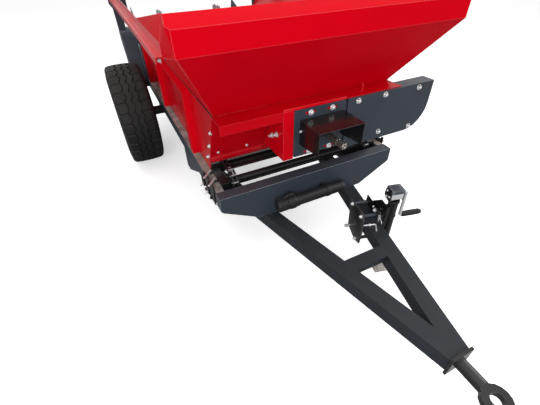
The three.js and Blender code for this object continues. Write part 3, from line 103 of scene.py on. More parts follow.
# a soft radius on every sharp corner, and a mask of where the corners are
def makeEdgeGroup():
    group, gIn, gOut = newGroup(
        "roundedEdge", [("Radius", "NodeSocketFloat", 0.0015)],
        [("Normal", "NodeSocketVector"), ("Edge", "NodeSocketFloat")])
    bevel = addNode(group, "ShaderNodeBevel", samples=surfaceLook["bevelSamples"])
    group.links.new(gIn.outputs["Radius"], bevel.inputs["Radius"])
    geometry = addNode(group, "ShaderNodeNewGeometry")
    dot = addNode(group, "ShaderNodeVectorMath", operation="DOT_PRODUCT")
    feed(group, dot, {0: bevel.outputs[0], 1: geometry.outputs["True Normal"]})
    edge = mapRange(group, dot.outputs["Value"], *surfaceLook["edgeRange"])
    feed(group, gOut, {"Normal": bevel.outputs[0], "Edge": edge})
    return group


# slow colour drift, fine speckle and faint scuffs
def makeSurfaceGroup():
    look = surfaceLook
    group, gIn, gOut = newGroup(
        "surfaceVariation",
        [("Scale", "NodeSocketFloat", 6.0), ("Scuffs", "NodeSocketFloat", 0.3)],
        [("Drift", "NodeSocketFloat"), ("Grain", "NodeSocketFloat"), ("Scuff", "NodeSocketFloat")])
    place = addNode(group, "ShaderNodeTexCoord").outputs["Object"]
    slow = addNoise(group, place, Scale=gIn.outputs["Scale"], Detail=look["driftDetail"])
    fine = addNoise(group, place, Scale=look["grainScale"], Detail=look["grainDetail"])
    stretch = addNode(group, "ShaderNodeMapping")
    feed(group, stretch, {
        "Vector": place, "Scale": look["scuffStretch"], "Rotation": look["scuffTurn"]})
    scuff = addNoise(group, stretch.outputs[0], Scale=look["scuffScale"],
                     Detail=look["scuffDetail"], Roughness=look["scuffRoughness"])
    lines = mapRange(group, scuff, *look["scuffRange"])
    scuffed = mathNode(group, "MULTIPLY", lines, gIn.outputs["Scuffs"])
    feed(group, gOut, {"Drift": slow, "Grain": fine, "Scuff": scuffed})
    return group


# dust that settles on faces that look up
def makeDustGroup():
    look = surfaceLook
    group, gIn, gOut = newGroup(
        "settledDust", [("Amount", "NodeSocketFloat", 0.2)], [("Dust", "NodeSocketFloat")])
    geometry = addNode(group, "ShaderNodeNewGeometry")
    split = addNode(group, "ShaderNodeSeparateXYZ")
    group.links.new(geometry.outputs["Normal"], split.inputs[0])
    place = addNode(group, "ShaderNodeTexCoord").outputs["Object"]
    cloud = addNoise(group, place, Scale=look["dustScale"], Detail=look["dustDetail"])
    up = mapRange(group, split.outputs["Z"], *look["dustSlope"])
    patch = mapRange(group, cloud, *look["dustPatch"], look["dustThin"])
    both = mathNode(group, "MULTIPLY", up, patch)
    group.links.new(mathNode(group, "MULTIPLY", both, gIn.outputs["Amount"]), gOut.inputs["Dust"])
    return group


edgeGroup = makeEdgeGroup()
surfaceGroup = makeSurfaceGroup()
dustGroup = makeDustGroup()


def useGroup(tree, group, **values):
    node = addNode(tree, "ShaderNodeGroup", node_tree=group)
    feed(tree, node, values)
    return node.outputs


def toned(colour, gain, lift=0.0):
    return tuple(min(1.0, c * gain + lift) for c in colour) + (1.0,)


paintLook = {
    "driftScale": 4.0, "driftRange": (0.3, 0.7), "sheenSwing": 0.12, "scuffGain": 1.5,
    "scuffLift": 0.03, "scuffDulls": 0.35, "dustDulls": 0.6, "dust": (0.42, 0.38, 0.33, 1.0),
    "bumpDepth": 0.002,
}


def makePaint(name, colour, roughness, edgeWearAndHighlight, metallic=0.0, edgeAmount=0.35, drift=0.12,
              scuffs=0.25, dust=0.02, grain=0.02, radius=0.0015, specular=0.5):
    look = paintLook
    material = bpy.data.materials.new(name)
    material.use_nodes = True
    tree = material.node_tree
    shader = tree.nodes["Principled BSDF"]
    surface = useGroup(tree, surfaceGroup, Scale=look["driftScale"], Scuffs=scuffs)
    edge = useGroup(tree, edgeGroup, Radius=radius)
    settled = useGroup(tree, dustGroup, Amount=dust)["Dust"]
    shift = mapRange(tree, surface["Drift"], *look["driftRange"])
    base = mixColour(tree, shift, toned(colour, 1.0 - drift), toned(colour, 1.0 + drift))
    scuffTone = toned(colour, look["scuffGain"], look["scuffLift"])
    scuffed = mixColour(tree, surface["Scuff"], base, scuffTone)
    # the edge colour over the rounded corners is partly wear and partly a painted highlight
    edgeMask = mathNode(tree, "MULTIPLY", edge["Edge"], edgeAmount)
    edgeWornAndLit = mixColour(tree, edgeMask, scuffed, edgeWearAndHighlight + (1.0,))
    swing = look["sheenSwing"]
    rough = mapRange(tree, surface["Drift"], *look["driftRange"],
                     roughness * (1.0 - swing), roughness * (1.0 + swing))
    for cover, dulls in ((settled, look["dustDulls"]), (surface["Scuff"], look["scuffDulls"])):
        rough = mathNode(tree, "ADD", rough, mathNode(tree, "MULTIPLY", cover, dulls), clamp=True)
    bump = addNode(tree, "ShaderNodeBump")
    feed(tree, bump, {"Strength": grain, "Distance": look["bumpDepth"],
                      "Height": surface["Grain"], "Normal": edge["Normal"]})
    feed(tree, shader, {
        "Base Color": mixColour(tree, settled, edgeWornAndLit, look["dust"]), "Roughness": rough,
        "Metallic": metallic, "Specular IOR Level": specular, "Normal": bump.outputs[0]})
    return material


# the edge colours of the red and the anthracite are painted highlights along their rounded edges
red, redEdgeHighlight = (0.60, 0.0010, 0.0085), (0.85, 0.16, 0.18)
grey, greyEdgeHighlight, paleGrey = (0.034, 0.043, 0.057), (0.20, 0.22, 0.25), (0.7, 0.7, 0.7)
black = (0.008, 0.008, 0.0085)
redWear = {"drift": 0.05, "scuffs": 0.03, "dust": 0.0, "radius": 0.0022}
greyWear = {"drift": 0.07, "scuffs": 0.08}

materials = {
    "red_paint": makePaint(
        "redPaint", red, 0.24, redEdgeHighlight, edgeAmount=0.55, specular=0.06, **redWear),
    # a darker copy of the same red: painted shade on the lower front parts
    "dark_red_paint": makePaint(
        "redPaintShaded", (0.50, 0.0010, 0.007), 0.26, (0.75, 0.10, 0.12), edgeAmount=0.5,
        specular=0.06, **dict(redWear, drift=0.06)),
    "anthracite_paint": makePaint(
        "anthracitePaint", grey, 0.36, greyEdgeHighlight, edgeAmount=0.55, dust=0.03, specular=0.22,
        **greyWear),
    "black_paint": makePaint(
        "blackPaint", black, 0.2, (0.16, 0.16, 0.165), edgeAmount=0.6, scuffs=0.1, specular=0.34),
    "cast_black": makePaint(
        "darkSteel", (0.016, 0.016, 0.017), 0.34, (0.22, 0.22, 0.23), metallic=0.5, scuffs=0.1,
        grain=0.08, specular=0.4),
    "zinc": makePaint(
        "zincPlate", (0.72, 0.73, 0.74), 0.3, (0.9, 0.9, 0.9), metallic=0.55, specular=0.4),
    "worn_steel": makePaint(
        "wornSteel", (0.42, 0.43, 0.45), 0.36, paleGrey, metallic=0.8, drift=0.25, scuffs=0.4,
        dust=0.04),
    "rim_paint": makePaint(
        "rimPaint", (0.52, 0.53, 0.55), 0.4, paleGrey, metallic=0.3, dust=0.04),
    "tyre_rubber": makePaint(
        "tyreRubber", (0.0115, 0.0112, 0.0112), 0.62, (0.045, 0.043, 0.042), edgeAmount=0.25,
        grain=0.25, dust=0.05, specular=0.22),
    "black_plastic": makePaint(
        "blackPlastic", (0.009, 0.009, 0.0095), 0.42, (0.05, 0.05, 0.05), grain=0.15, dust=0.01,
        specular=0.3),
}

slotOf = {entry["node"]: entry["material_slot"] for entry in frame["record"]["subparts"]}
for nodeName, slotName in slotOf.items():
    cadObject = bpy.data.objects[nodeName]
    cadObject.data.materials.clear()
    cadObject.data.materials.append(materials[slotName])
# the rails' tops have more dust on them, and the beam's edges carry a painted highlight
railPaint = makePaint("railPaint", grey, 0.45, greyEdgeHighlight, edgeAmount=0.5, drift=0.07, scuffs=0.1,
                      dust=0.95, specular=0.2)
beamPaintLitEdges = makePaint("beamPaintLitEdges", grey, 0.36, (0.55, 0.58, 0.60), edgeAmount=0.85, dust=0.05,
                      radius=0.0026, specular=0.22, **greyWear)
# copies of three paints with a strong painted highlight on every rounded edge
litEdgePaints = {
    "black_paint": makePaint(
        "blackPaintEdged", black, 0.24, (0.42, 0.41, 0.40), edgeAmount=0.8, scuffs=0.1,
        radius=0.0022, specular=0.2),
    "anthracite_paint": makePaint(
        "coverPaint", (0.040, 0.050, 0.064), 0.3, (0.55, 0.57, 0.60), edgeAmount=0.8, dust=0.03,
        radius=0.0026, specular=0.4, **greyWear),
    "cast_black": makePaint(
        "shaftSteel", (0.16, 0.145, 0.13), 0.24, (0.6, 0.57, 0.53), metallic=0.7, edgeAmount=0.7,
        scuffs=0.15, dust=0.0, radius=0.0012),
}
# the flare is seen almost edge on, so it has next to no sheen; the walls inside have much of it
# its folds carry a wide painted highlight
flarePaint = makePaint("flarePaint", red, 0.3, redEdgeHighlight, edgeAmount=0.7, specular=0.01,
                       **dict(redWear, radius=0.003))
wallPaint = makePaint("wallPaint", red, 0.24, redEdgeHighlight, edgeAmount=0.55, specular=0.3, **redWear)
# a darker copy of the anthracite on the drawbar legs and cross member: painted shade
legPaintShaded = makePaint("legPaintShaded", (0.019, 0.023, 0.029), 0.48, (0.12, 0.13, 0.15), edgeAmount=0.5,
                     specular=0.16, **greyWear)
footZinc = makePaint("footZinc", (0.36, 0.33, 0.30), 0.35, (0.7, 0.68, 0.65), metallic=0.5,
                     drift=0.3, scuffs=0.4, dust=0.05)
ownPaint = {
    "drawbar_leg_left": legPaintShaded, "drawbar_leg_right": legPaintShaded, "drawbar_cross_member": legPaintShaded,
    "jack_inner_leg": footZinc, "front_beam": beamPaintLitEdges, "side_rail_left": railPaint,
    "side_rail_right": railPaint, "hopper_front_flare": flarePaint,
    "hopper_side_left": wallPaint, "hopper_side_right": wallPaint,
}
for nodeName, paint in ownPaint.items():
    bpy.data.objects[nodeName].data.materials[0] = paint
print("materials on the frame")

# modelling helpers; every length below is in millimetres

unit = 0.001
weldGap = 0.00001  # in metres, as Blender takes it
closeBy = 0.5  # places nearer than this count as the same one
squareOn = 0.9  # how squarely a picked face has to look along its axis
cornerSteps, cornerShare = 6, 0.49  # of a bent bar's corners


def toMetres(point):
    return Vector(point) * unit


def clearSelection():
    if bpy.context.object and bpy.context.object.mode != "OBJECT":
        bpy.ops.object.mode_set(mode="OBJECT")
    bpy.ops.object.select_all(action="DESELECT")


def useOnly(piece):
    clearSelection()
    piece.select_set(True)
    bpy.context.view_layer.objects.active = piece


def settle(piece):
    useOnly(piece)
    bpy.ops.object.transform_apply(location=True, rotation=True, scale=True)
    return piece


def addBox(low, high):
    clearSelection()
    size = toMetres(high) - toMetres(low)
    centre = (toMetres(low) + toMetres(high)) / 2
    bpy.ops.mesh.primitive_cube_add(size=1.0, location=centre, scale=size)
    return settle(bpy.context.object)


def addRod(radius, start, end, sides=32):
    clearSelection()
    first, last = toMetres(start), toMetres(end)
    axis = last - first
    bpy.ops.mesh.primitive_cylinder_add(
        vertices=sides, radius=radius * unit, depth=axis.length, location=(first + last) / 2,
        rotation=axis.to_track_quat("Z", "Y").to_euler())
    return settle(bpy.context.object)


def editAll():
    bpy.ops.object.mode_set(mode="EDIT")
    bpy.ops.mesh.select_all(action="SELECT")


def endEdit():
    bpy.ops.mesh.select_all(action="SELECT")
    bpy.ops.mesh.normals_make_consistent(inside=False)
    bpy.ops.object.mode_set(mode="OBJECT")


# selects faces or edges by place and normal and leaves the piece in edit mode
def pick(piece, kind, test):
    useOnly(piece)
    bpy.ops.object.mode_set(mode="EDIT")
    bpy.ops.mesh.select_mode(type=kind)
    bpy.ops.mesh.select_all(action="DESELECT")
    bpy.ops.object.mode_set(mode="OBJECT")
    if kind == "FACE":
        for face in piece.data.polygons:
            face.select = test(face.center / unit, face.normal)
    else:
        points = piece.data.vertices
        for edge in piece.data.edges:
            edge.select = test(*(points[i].co / unit for i in edge.vertices))
    bpy.ops.object.mode_set(mode="EDIT")


# rounds only the edges that the test names
def bevelEdges(piece, width, test):
    pick(piece, "EDGE", test)
    bpy.ops.mesh.bevel(offset=width * unit, segments=5, affect="EDGES")
    endEdit()
    return piece


# raises the picked faces as ribs
def raiseRibs(piece, inset, out, test):
    pick(piece, "FACE", test)
    bpy.ops.mesh.inset(thickness=inset * unit, use_individual=True)
    bpy.ops.mesh.extrude_faces_move(TRANSFORM_OT_shrink_fatten={"value": out * unit})
    endEdit()
    return piece


# true for every second one of the faces round an axis along X
def everySecond(centre, y, z, count):
    return round(math.atan2(centre.z - z, centre.y - y) / math.tau * count - 0.5) % 2 == 0


# cuts off the side that the normal points to
def cutAway(piece, point, normal):
    useOnly(piece)
    editAll()
    bpy.ops.mesh.bisect(plane_co=toMetres(point), plane_no=normal, use_fill=True, clear_outer=True)
    bpy.ops.object.mode_set(mode="OBJECT")
    return piece


def turnTo(direction):
    return Vector(direction).to_track_quat("Z", "Y").to_matrix().to_4x4()


# a round body drawn out step by step from a disc, along any direction
def addTurned(place, direction, profile, sides=40):
    clearSelection()
    startAt, startRadius = profile[0]
    bpy.ops.mesh.primitive_circle_add(vertices=sides, radius=startRadius * unit, fill_type="NGON",
                                      location=(0.0, 0.0, startAt * unit))
    piece = settle(bpy.context.object)
    bpy.ops.object.mode_set(mode="EDIT")
    bpy.ops.mesh.select_mode(type="FACE")
    bpy.ops.mesh.select_all(action="SELECT")
    for (fromHere, oldRadius), (toHere, newRadius) in zip(profile, profile[1:]):
        step = (0.0, 0.0, (toHere - fromHere) * unit)
        bpy.ops.mesh.extrude_region_move(TRANSFORM_OT_translate={"value": step})
        growth, centre = newRadius / oldRadius, (0.0, 0.0, toHere * unit)
        bpy.ops.transform.resize(value=(growth, growth, 1.0), center_override=centre)
    endEdit()
    piece.matrix_world = Matrix.Translation(toMetres(place)) @ turnTo(direction)
    return settle(piece)


# a sheet or plate with a convex outline, trimmed from a block
def addPlate(outline, low, high, axis):
    across = [i for i in range(3) if i != axis]
    small, large = [0.0] * 3, [0.0] * 3
    small[axis], large[axis] = low, high
    for k, i in enumerate(across):
        small[i] = min(point[k] for point in outline)
        large[i] = max(point[k] for point in outline)
    piece = addBox(small, large)
    middle = [sum(point[k] for point in outline) / len(outline) for k in range(2)]
    for a, b in zip(outline, outline[1:] + outline[:1]):
        flat = Vector((b[1] - a[1], a[0] - b[0]))
        if flat.dot(Vector((a[0] - middle[0], a[1] - middle[1]))) < 0.0:
            flat = -flat
        normal, point = [0.0] * 3, [0.0] * 3
        point[axis] = low
        for k, i in enumerate(across):
            normal[i], point[i] = flat[k], a[k]
        cutAway(piece, point, Vector(normal).normalized())
    return piece


def roundEdges(piece, width, segments=2, angle=35.0):
    useOnly(piece)
    bpy.ops.object.modifier_add(type="BEVEL")
    bevel = piece.modifiers[-1]
    bevel.width = width * unit
    bevel.segments = segments
    bevel.limit_method = "ANGLE"
    bevel.angle_limit = math.radians(angle)
    bpy.ops.object.modifier_apply(modifier=bevel.name)
    return piece


def joinPieces(parts):
    if len(parts) == 1:
        return parts[0]
    clearSelection()
    for part in parts:
        part.select_set(True)
    bpy.context.view_layer.objects.active = parts[0]
    bpy.ops.object.join()
    return bpy.context.object


def addObject(name, data):
    piece = bpy.data.objects.new(name, data)
    bpy.context.scene.collection.objects.link(piece)
    return piece


# a copy with its own mesh
def twinOf(master):
    twin = master.copy()
    twin.data = master.data.copy()
    bpy.context.scene.collection.objects.link(twin)
    return twin


# a copy whose +Z is turned to a direction
def copyTo(master, place, direction, roll):
    twin = twinOf(master)
    spin = Matrix.Rotation(roll, 4, "Z")
    twin.matrix_world = Matrix.Translation(toMetres(place)) @ turnTo(direction) @ spin
    return settle(twin)


def dropMaster(master):
    useOnly(master)
    bpy.ops.object.delete()


# a bar bent along points, with rounded corners
def addBentBar(points, radius, bend):
    spots = [Vector(point) for point in points]
    path = [spots[0]]
    for before, spot, after in zip(spots, spots[1:], spots[2:]):
        back, ahead = before - spot, after - spot
        reach = min(bend, back.length * cornerShare, ahead.length * cornerShare)
        start, end = spot + back.normalized() * reach, spot + ahead.normalized() * reach
        for step in range(cornerSteps + 1):
            t = step / cornerSteps
            path.append(start * (1 - t) ** 2 + spot * 2 * t * (1 - t) + end * t ** 2)
    path.append(spots[-1])
    curve = bpy.data.curves.new("bentBar", "CURVE")
    curve.dimensions = "3D"
    line = curve.splines.new("POLY")
    line.points.add(len(path) - 1)
    for knot, spot in zip(line.points, path):
        knot.co = (*(spot * unit), 1.0)
    curve.bevel_depth = radius * unit
    curve.bevel_resolution = 3
    curve.use_fill_caps = True
    useOnly(addObject("bentBar", curve))
    bpy.ops.object.convert(target="MESH")
    editAll()
    bpy.ops.mesh.remove_doubles(threshold=weldGap)
    endEdit()
    return bpy.context.object


# edged paints are the same slot with a strong painted highlight on their edges
def finishPiece(piece, name, slotName, body="chassis", standsFor=(), edged=False, smooth=35.0):
    useOnly(piece)
    bpy.ops.object.shade_smooth_by_angle(angle=math.radians(smooth))
    piece.name = name
    piece.data.name = name
    piece.data.materials.clear()
    piece.data.materials.append((litEdgePaints if edged else materials)[slotName])
    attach(piece, body)
    if standsFor:
        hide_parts(*standsFor)


boltLook = {
    "washerSides": 28, "washerEdge": 0.5, "headSink": 0.2, "crownShare": 0.16, "crownRise": 0.9,
    "headEdge": 0.6, "headAngle": 50.0, "studSides": 20, "studSink": 1.0, "studEdge": 0.7,
    "spin": 0.35,
}


# hexagon bolt with a washer under its head; the origin is on the sheet, +Z away from it
def makeBolt(size):
    look, base = boltLook, size["washerThick"]
    washer = addRod(size["washer"], (0, 0, 0), (0, 0, base), look["washerSides"])
    roundEdges(washer, look["washerEdge"], 1)
    top = base + size["height"]
    head = addRod(size["head"], (0, 0, base - look["headSink"]), (0, 0, top), 6)
    pick(head, "FACE", lambda centre, normal: normal.z > squareOn)
    bpy.ops.mesh.inset(thickness=size["head"] * look["crownShare"] * unit)
    bpy.ops.transform.translate(value=(0.0, 0.0, look["crownRise"] * unit))
    endEdit()
    parts = [washer, roundEdges(head, look["headEdge"], 1, look["headAngle"])]
    if "stud" in size:
        ends = (0, 0, top - look["studSink"]), (0, 0, top + size["studOut"])
        stud = addRod(size["stud"], *ends, look["studSides"])
        parts.append(roundEdges(stud, look["studEdge"], 1))
    return joinPieces(parts)


def bolts(size, places):
    master = makeBolt(size)
    copies = [copyTo(master, *place, boltLook["spin"] * i) for i, place in enumerate(places)]
    dropMaster(master)
    return joinPieces(copies)


# drive plate, guard and case in front of the hopper

toFront, toLeft, toRight = (0.0, -1.0, 0.0), (1.0, 0.0, 0.0), (-1.0, 0.0, 0.0)
driveFront = {
    "bolt": {"washer": 15.5, "washerThick": 2.6, "head": 11.0, "height": 9.0, "stud": 4.5,
             "studOut": 5.0},
    "plateBolts": [(-55.0, 716.0), (74.0, 716.0), (-55.0, 935.0), (74.0, 935.0)],
    "plateFace": -701.85,
    "caseBolts": [(231.2, 942.2), (413.1, 942.2), (658.3, 939.4), (414.3, 722.6), (652.8, 704.3)],
    "caseFace": -709.85,
    "guardBolt": {"washer": 8, "washerThick": 1.5, "head": 6, "height": 4.5, "stud": 3.0,
                  "studOut": 6.0},
    "guardBolts": [((-115.0, -715.0, 851.0), toRight), ((147.0, -715.0, 851.0), toLeft)],
}


def makeDriveBolts():
    size = driveFront
    places = [((x, size["plateFace"], z), toFront) for x, z in size["plateBolts"]]
    places += [((x, size["caseFace"], z), toFront) for x, z in size["caseBolts"]]
    finishPiece(bolts(size["bolt"], places), "driveBolts", "zinc")
    finishPiece(bolts(size["guardBolt"], size["guardBolts"]), "guardBolts", "zinc")


# red sheet that the slotted plate bolts on to
plateBacking = {"left": -140.0, "right": 156.0, "front": -695.5, "back": -692.5, "edge": 1.2,
                "bands": [(704.0, 742.0), (912.0, 955.0)]}


def makePlateBacking():
    size, parts = plateBacking, []
    for foot, top in size["bands"]:
        strip = addBox((size["left"], size["front"], foot), (size["right"], size["back"], top))
        parts.append(roundEdges(strip, size["edge"]))
    finishPiece(joinPieces(parts), "plateBacking", "red_paint")


# folded lip of the ledge above the plate, and the seal strip along the sloping panel's foot
ledgeLip = {"low": (-209.0, -701.4, 962.0), "high": (156.0, -698.0, 976.5), "edge": 1.2}
sealStrip = {"left": -524.0, "right": -216.0, "foot": (278.0, 622.0), "head": (106.0, 965.5),
             "near": 6.4, "far": 8.6, "start": 0.5, "width": 46.0, "front": 689.85, "edge": 0.8}


def makeRedStrips():
    lip = roundEdges(addBox(ledgeLip["low"], ledgeLip["high"]), ledgeLip["edge"])
    size = sealStrip
    run, rise = size["head"][0] - size["foot"][0], size["head"][1] - size["foot"][1]
    length = math.hypot(run, rise)
    along, out = (run / length, rise / length), (-rise / length, run / length)
    y, z = size["foot"][0] - size["front"], size["foot"][1]
    outline = [
        (y + out[0] * way + along[0] * far, z + out[1] * way + along[1] * far)
        for way, far in ((size["near"], size["start"]), (size["far"], size["start"]),
                         (size["far"], size["width"]), (size["near"], size["width"]))]
    seal = roundEdges(addPlate(outline, size["left"], size["right"], 0), size["edge"])
    finishPiece(joinPieces([lip, seal]), "redStrips", "red_paint")


# splined end of the drive shaft; the rear part is cut from the node's own mesh
ptoShaft = {
    "x": 8.0, "z": 830.33, "front": -917.85, "back": -724.0, "root": 14.4, "tip": 17.5,
    "splines": 6, "splineWidth": 8.6, "groove": (-871.85, -864.85), "sink": 2.5, "edge": 0.7,
    "edgeAngle": 60.0, "chamfer": 3.0, "taper": 2.6, "overlap": 1.0, "centreHole": 5.0,
    "centreFoot": 1.2,
}


def makePtoShaft():
    size = ptoShaft
    rear = settle(twinOf(bpy.data.objects["pto_shaft"]))
    editAll()
    bpy.ops.mesh.remove_doubles(threshold=weldGap)
    bpy.ops.object.mode_set(mode="OBJECT")
    cutAway(rear, (0.0, size["back"], 0.0), toFront)
    length, hole = size["back"] - size["front"], size["centreHole"]
    core = addTurned((size["x"], size["back"], size["z"]), toFront, [
        (-size["overlap"], size["root"]), (length - size["chamfer"], size["root"]),
        (length, size["root"] - size["taper"]), (length, hole),
        (length - hole, size["centreFoot"])], sides=36)
    centre = Matrix.Translation(toMetres((size["x"], 0.0, size["z"])))
    ribs, half = [], size["splineWidth"] / 2
    for start, end in ((size["front"] + size["chamfer"], size["groove"][0]),
                       (size["groove"][1], size["back"] + size["overlap"])):
        rib = addBox((-half, start, size["root"] - size["sink"]), (half, end, size["tip"]))
        roundEdges(rib, size["edge"], 1, size["edgeAngle"])
        for i in range(size["splines"]):
            twin = twinOf(rib)
            spin = Matrix.Rotation(math.tau * (i + 0.5) / size["splines"], 4, "Y")
            twin.matrix_world = centre @ spin
            ribs.append(settle(twin))
        dropMaster(rib)
    finishPiece(joinPieces([rear, core, *ribs]), "ptoShaftSplined", "cast_black", "pto",
                ("pto_shaft",), edged=True)


# black bearing that carries the shaft on the plate
ptoBearing = {
    "outline": [(-52, -16), (-52, 16), (-22, 40), (22, 40), (52, 16), (52, -16), (22, -40),
                (-22, -40)],
    "flangeAt": (-711.0, -702.2), "flangeEdge": 2.0, "bossAt": -710.0,
    "boss": [(0.0, 38.0), (10.0, 36.0), (18.0, 31.0), (20.0, 24.0)],
}


def makePtoBearing():
    size, x, z = ptoBearing, ptoShaft["x"], ptoShaft["z"]
    outline = [(x + across, z + up) for across, up in size["outline"]]
    flange = roundEdges(addPlate(outline, *size["flangeAt"], 1), size["flangeEdge"])
    boss = addTurned((x, size["bossAt"], z), toFront, size["boss"])
    finishPiece(joinPieces([flange, boss]), "ptoBearing", "black_paint")


makeDriveBolts()
makePlateBacking()
makeRedStrips()
makePtoShaft()
makePtoBearing()
print("drive front")

# document canister with its ribbed cap; profiles are distance along it and radius

canister = {
    "left": -273.0, "y": -749.85, "z": 442.0, "ribs": 40, "ribInset": 0.6, "ribOut": 2.6,
    "ribFrom": -249.554, "ribTo": -234.746, "capEdge": 0.5, "capAngle": 40.0, "sides": 48,
    "cap": [(0.0, 27.0), (1.2, 32.0), (4.0, 35.0), (8.0, 36.0), (58.7, 36.0), (61.7, 34.8)],
    "bodyFrom": -211.0,
    "body": [(0.0, 37.0), (6.0, 37.6), (18.0, 40.4), (22.0, 41.0), (46.0, 41.0), (50.0, 39.5),
             (58.0, 35.2), (66.0, 34.0), (362.3, 34.0), (364.3, 35.6), (374.3, 35.6),
             (379.3, 34.0), (385.3, 30.0), (387.8, 22.0)],
    "latchLow": (-222.0, -743.85, 472.0), "latchHigh": (-150.0, -713.85, 492.0),
    "latchMiddle": (-180.0, -729.85, 442.0), "latchTop": (0.42, 0.7, 1.0), "latchEdge": 5.0,
    "pinFrom": (-226.0, -729.85, 475.0), "pinTo": (-206.0, -729.85, 475.0), "pin": 5.0,
    "pinEdge": 1.0,
    "clips": (-150.0, 60.0), "clip": [(0.0, 34.2), (0.0, 37.0), (22.0, 37.0), (22.0, 34.2)],
    "clipHalf": 11.0, "clipEdge": 1.0, "footFront": -729.85, "footBack": -690.2,
    "footHalf": 19.0, "footEdge": 2.0,
}


def makeCanister():
    size = canister
    y, z, sides, half = size["y"], size["z"], size["sides"], size["clipHalf"]
    cap = addTurned((size["left"], y, z), toLeft, size["cap"], size["ribs"])
    raiseRibs(cap, size["ribInset"], size["ribOut"], lambda centre, normal: (
        size["ribFrom"] < centre.x < size["ribTo"] and everySecond(centre, y, z, size["ribs"])))
    roundEdges(cap, size["capEdge"], 1, size["capAngle"])
    finishPiece(cap, "canisterCap", "black_plastic", "canister_lid", ("canister_cap",))
    body = addTurned((size["bodyFrom"], y, z), toLeft, size["body"], sides)
    latch = addBox(size["latchLow"], size["latchHigh"])
    pick(latch, "FACE", lambda centre, normal: normal.z > squareOn)
    bpy.ops.transform.resize(value=size["latchTop"], center_override=toMetres(size["latchMiddle"]))
    endEdit()
    roundEdges(latch, size["latchEdge"], 3)
    pin = addRod(size["pin"], size["pinFrom"], size["pinTo"], sides=20)
    parts = [body, latch, roundEdges(pin, size["pinEdge"])]
    for x in size["clips"]:
        band = addTurned((x - half, y, z), toLeft, size["clip"], sides)
        foot = addBox((x - half, size["footFront"], z - size["footHalf"]),
                      (x + half, size["footBack"], z + size["footHalf"]))
        parts += [roundEdges(band, size["clipEdge"]), roundEdges(foot, size["footEdge"])]
    finishPiece(joinPieces(parts), "canisterBody", "black_plastic", "chassis", ("canister_body",))


makeCanister()
print("canister")

# wind-up jack, modelled in its own square frame beside the left drawbar leg and then turned

jackFrame = {"origin": (273.47, -1063.65, 0.0), "across": (0.969873, -0.243615, 0.0),
             "along": (0.243615, 0.969873, 0.0), "up": (0.0, 0.0, 1.0)}


def finishJack(parts, name, slotName, body="chassis", standsFor=(), edged=False):
    piece = joinPieces(parts)
    axes = [Vector(jackFrame[key]) for key in ("across", "along", "up")]
    turn = Matrix(axes).transposed().to_4x4()
    shift = Matrix.Translation(toMetres(jackFrame["origin"]))
    piece.matrix_world = shift @ turn @ piece.matrix_world
    finishPiece(settle(piece), name, slotName, body, standsFor, edged)


jackPlates = {
    "outer": [(39, 162), (98, 144), (204, 174), (193, 407), (23, 407), (27, 300)],
    "inner": [(39, 162), (98, 144), (204, 174), (226, 372), (54, 390), (24, 328)],
    "outerAt": (-43.7, -37.7), "innerAt": (-130.3, -124.3), "corner": 7.0, "edge": 1.1,
    "rods": [(185, 361), (65, 361), (83, 166)], "rod": 8.0, "rodOut": 15.0, "rodEdge": 2.0,
    "sleeve": 10.5, "nut": 13.0, "nutThick": 8.0, "nutEdge": 0.8,
}


def makeJackBracket():
    size, plates, rods, sleeves = jackPlates, [], [], []
    for side in ("outer", "inner"):
        plate = addPlate(size[side], *size[side + "At"], 0)
        bevelEdges(plate, size["corner"],
                   lambda a, b: abs(a.y - b.y) < closeBy and abs(a.z - b.z) < closeBy)
        plates.append(roundEdges(plate, size["edge"]))
    finishJack(plates, "jackPlates", "black_paint", "chassis", ("jack_bracket",), edged=True)
    (left, right), far = size["innerAt"], size["outerAt"]
    for v, z in size["rods"]:
        sleeves.append(addRod(size["sleeve"], (right, v, z), (far[0], v, z), sides=28))
        rod = addRod(size["rod"], (left - size["rodOut"], v, z), (far[1], v, z), sides=28)
        nut = addRod(size["nut"], (left - size["nutThick"], v, z), (left, v, z), sides=6)
        rods += [roundEdges(rod, size["rodEdge"]), roundEdges(nut, size["nutEdge"], 1)]
    finishJack(rods, "jackRods", "zinc")
    finishJack(sleeves, "jackSleeves", "anthracite_paint", edged=True)


# the lock pin below the leg, and the loose pin that lies on top of the leg before the plates
lockPin = {"place": (-164.0, 178.0, 192.0), "profile": [
    (0.0, 7.0), (2.0, 10.0), (22.0, 10.0), (24.0, 7.0), (126.0, 7.0)]}
loosePin = {
    "radius": 5.0, "bend": 14.0,
    "points": [(-147, -3, 355.3), (-78, -7, 355.3), (-98, -56, 355.3)],
    "collar": 8.0, "collarFrom": (-118.0, -4.6, 355.3), "collarTo": (-108.0, -5.2, 355.3),
    "collarEdge": 1.5,
}


def makeLockPins():
    pin = addTurned(lockPin["place"], toLeft, lockPin["profile"], sides=28)
    finishJack([pin], "jackLockPin", "zinc", "lock_pin", ("jack_lock_pin",))
    size = loosePin
    bar = addBentBar(size["points"], size["radius"], size["bend"])
    collar = addRod(size["collar"], size["collarFrom"], size["collarTo"], sides=24)
    finishJack([bar, roundEdges(collar, size["collarEdge"])], "jackLoosePin", "zinc")


# hairpin clip, and a zinc strap at the outer plate's front edge that paints the light on that edge
# as a highlight
hairpin = {
    "wire": 2.8, "bend": 9.0, "strapAt": (-50.0, -44.0), "strapEdge": 1.2,
    "points": [(-40, 28, 403), (-41, 24, 380), (-41, 22, 366), (-41, 4, 362), (-41, -7, 356),
               (-41, -7, 330), (-41, -8, 300)],
    "litEdgeStrap": [(22, 391), (36, 391), (24, 322), (11, 322)],
}


def makeHairpin():
    size = hairpin
    wire = addBentBar(size["points"], size["wire"], size["bend"])
    litEdgeStrap = roundEdges(addPlate(size["litEdgeStrap"], *size["strapAt"], 0), size["strapEdge"])
    finishJack([wire, litEdgeStrap], "jackHairpin", "zinc")


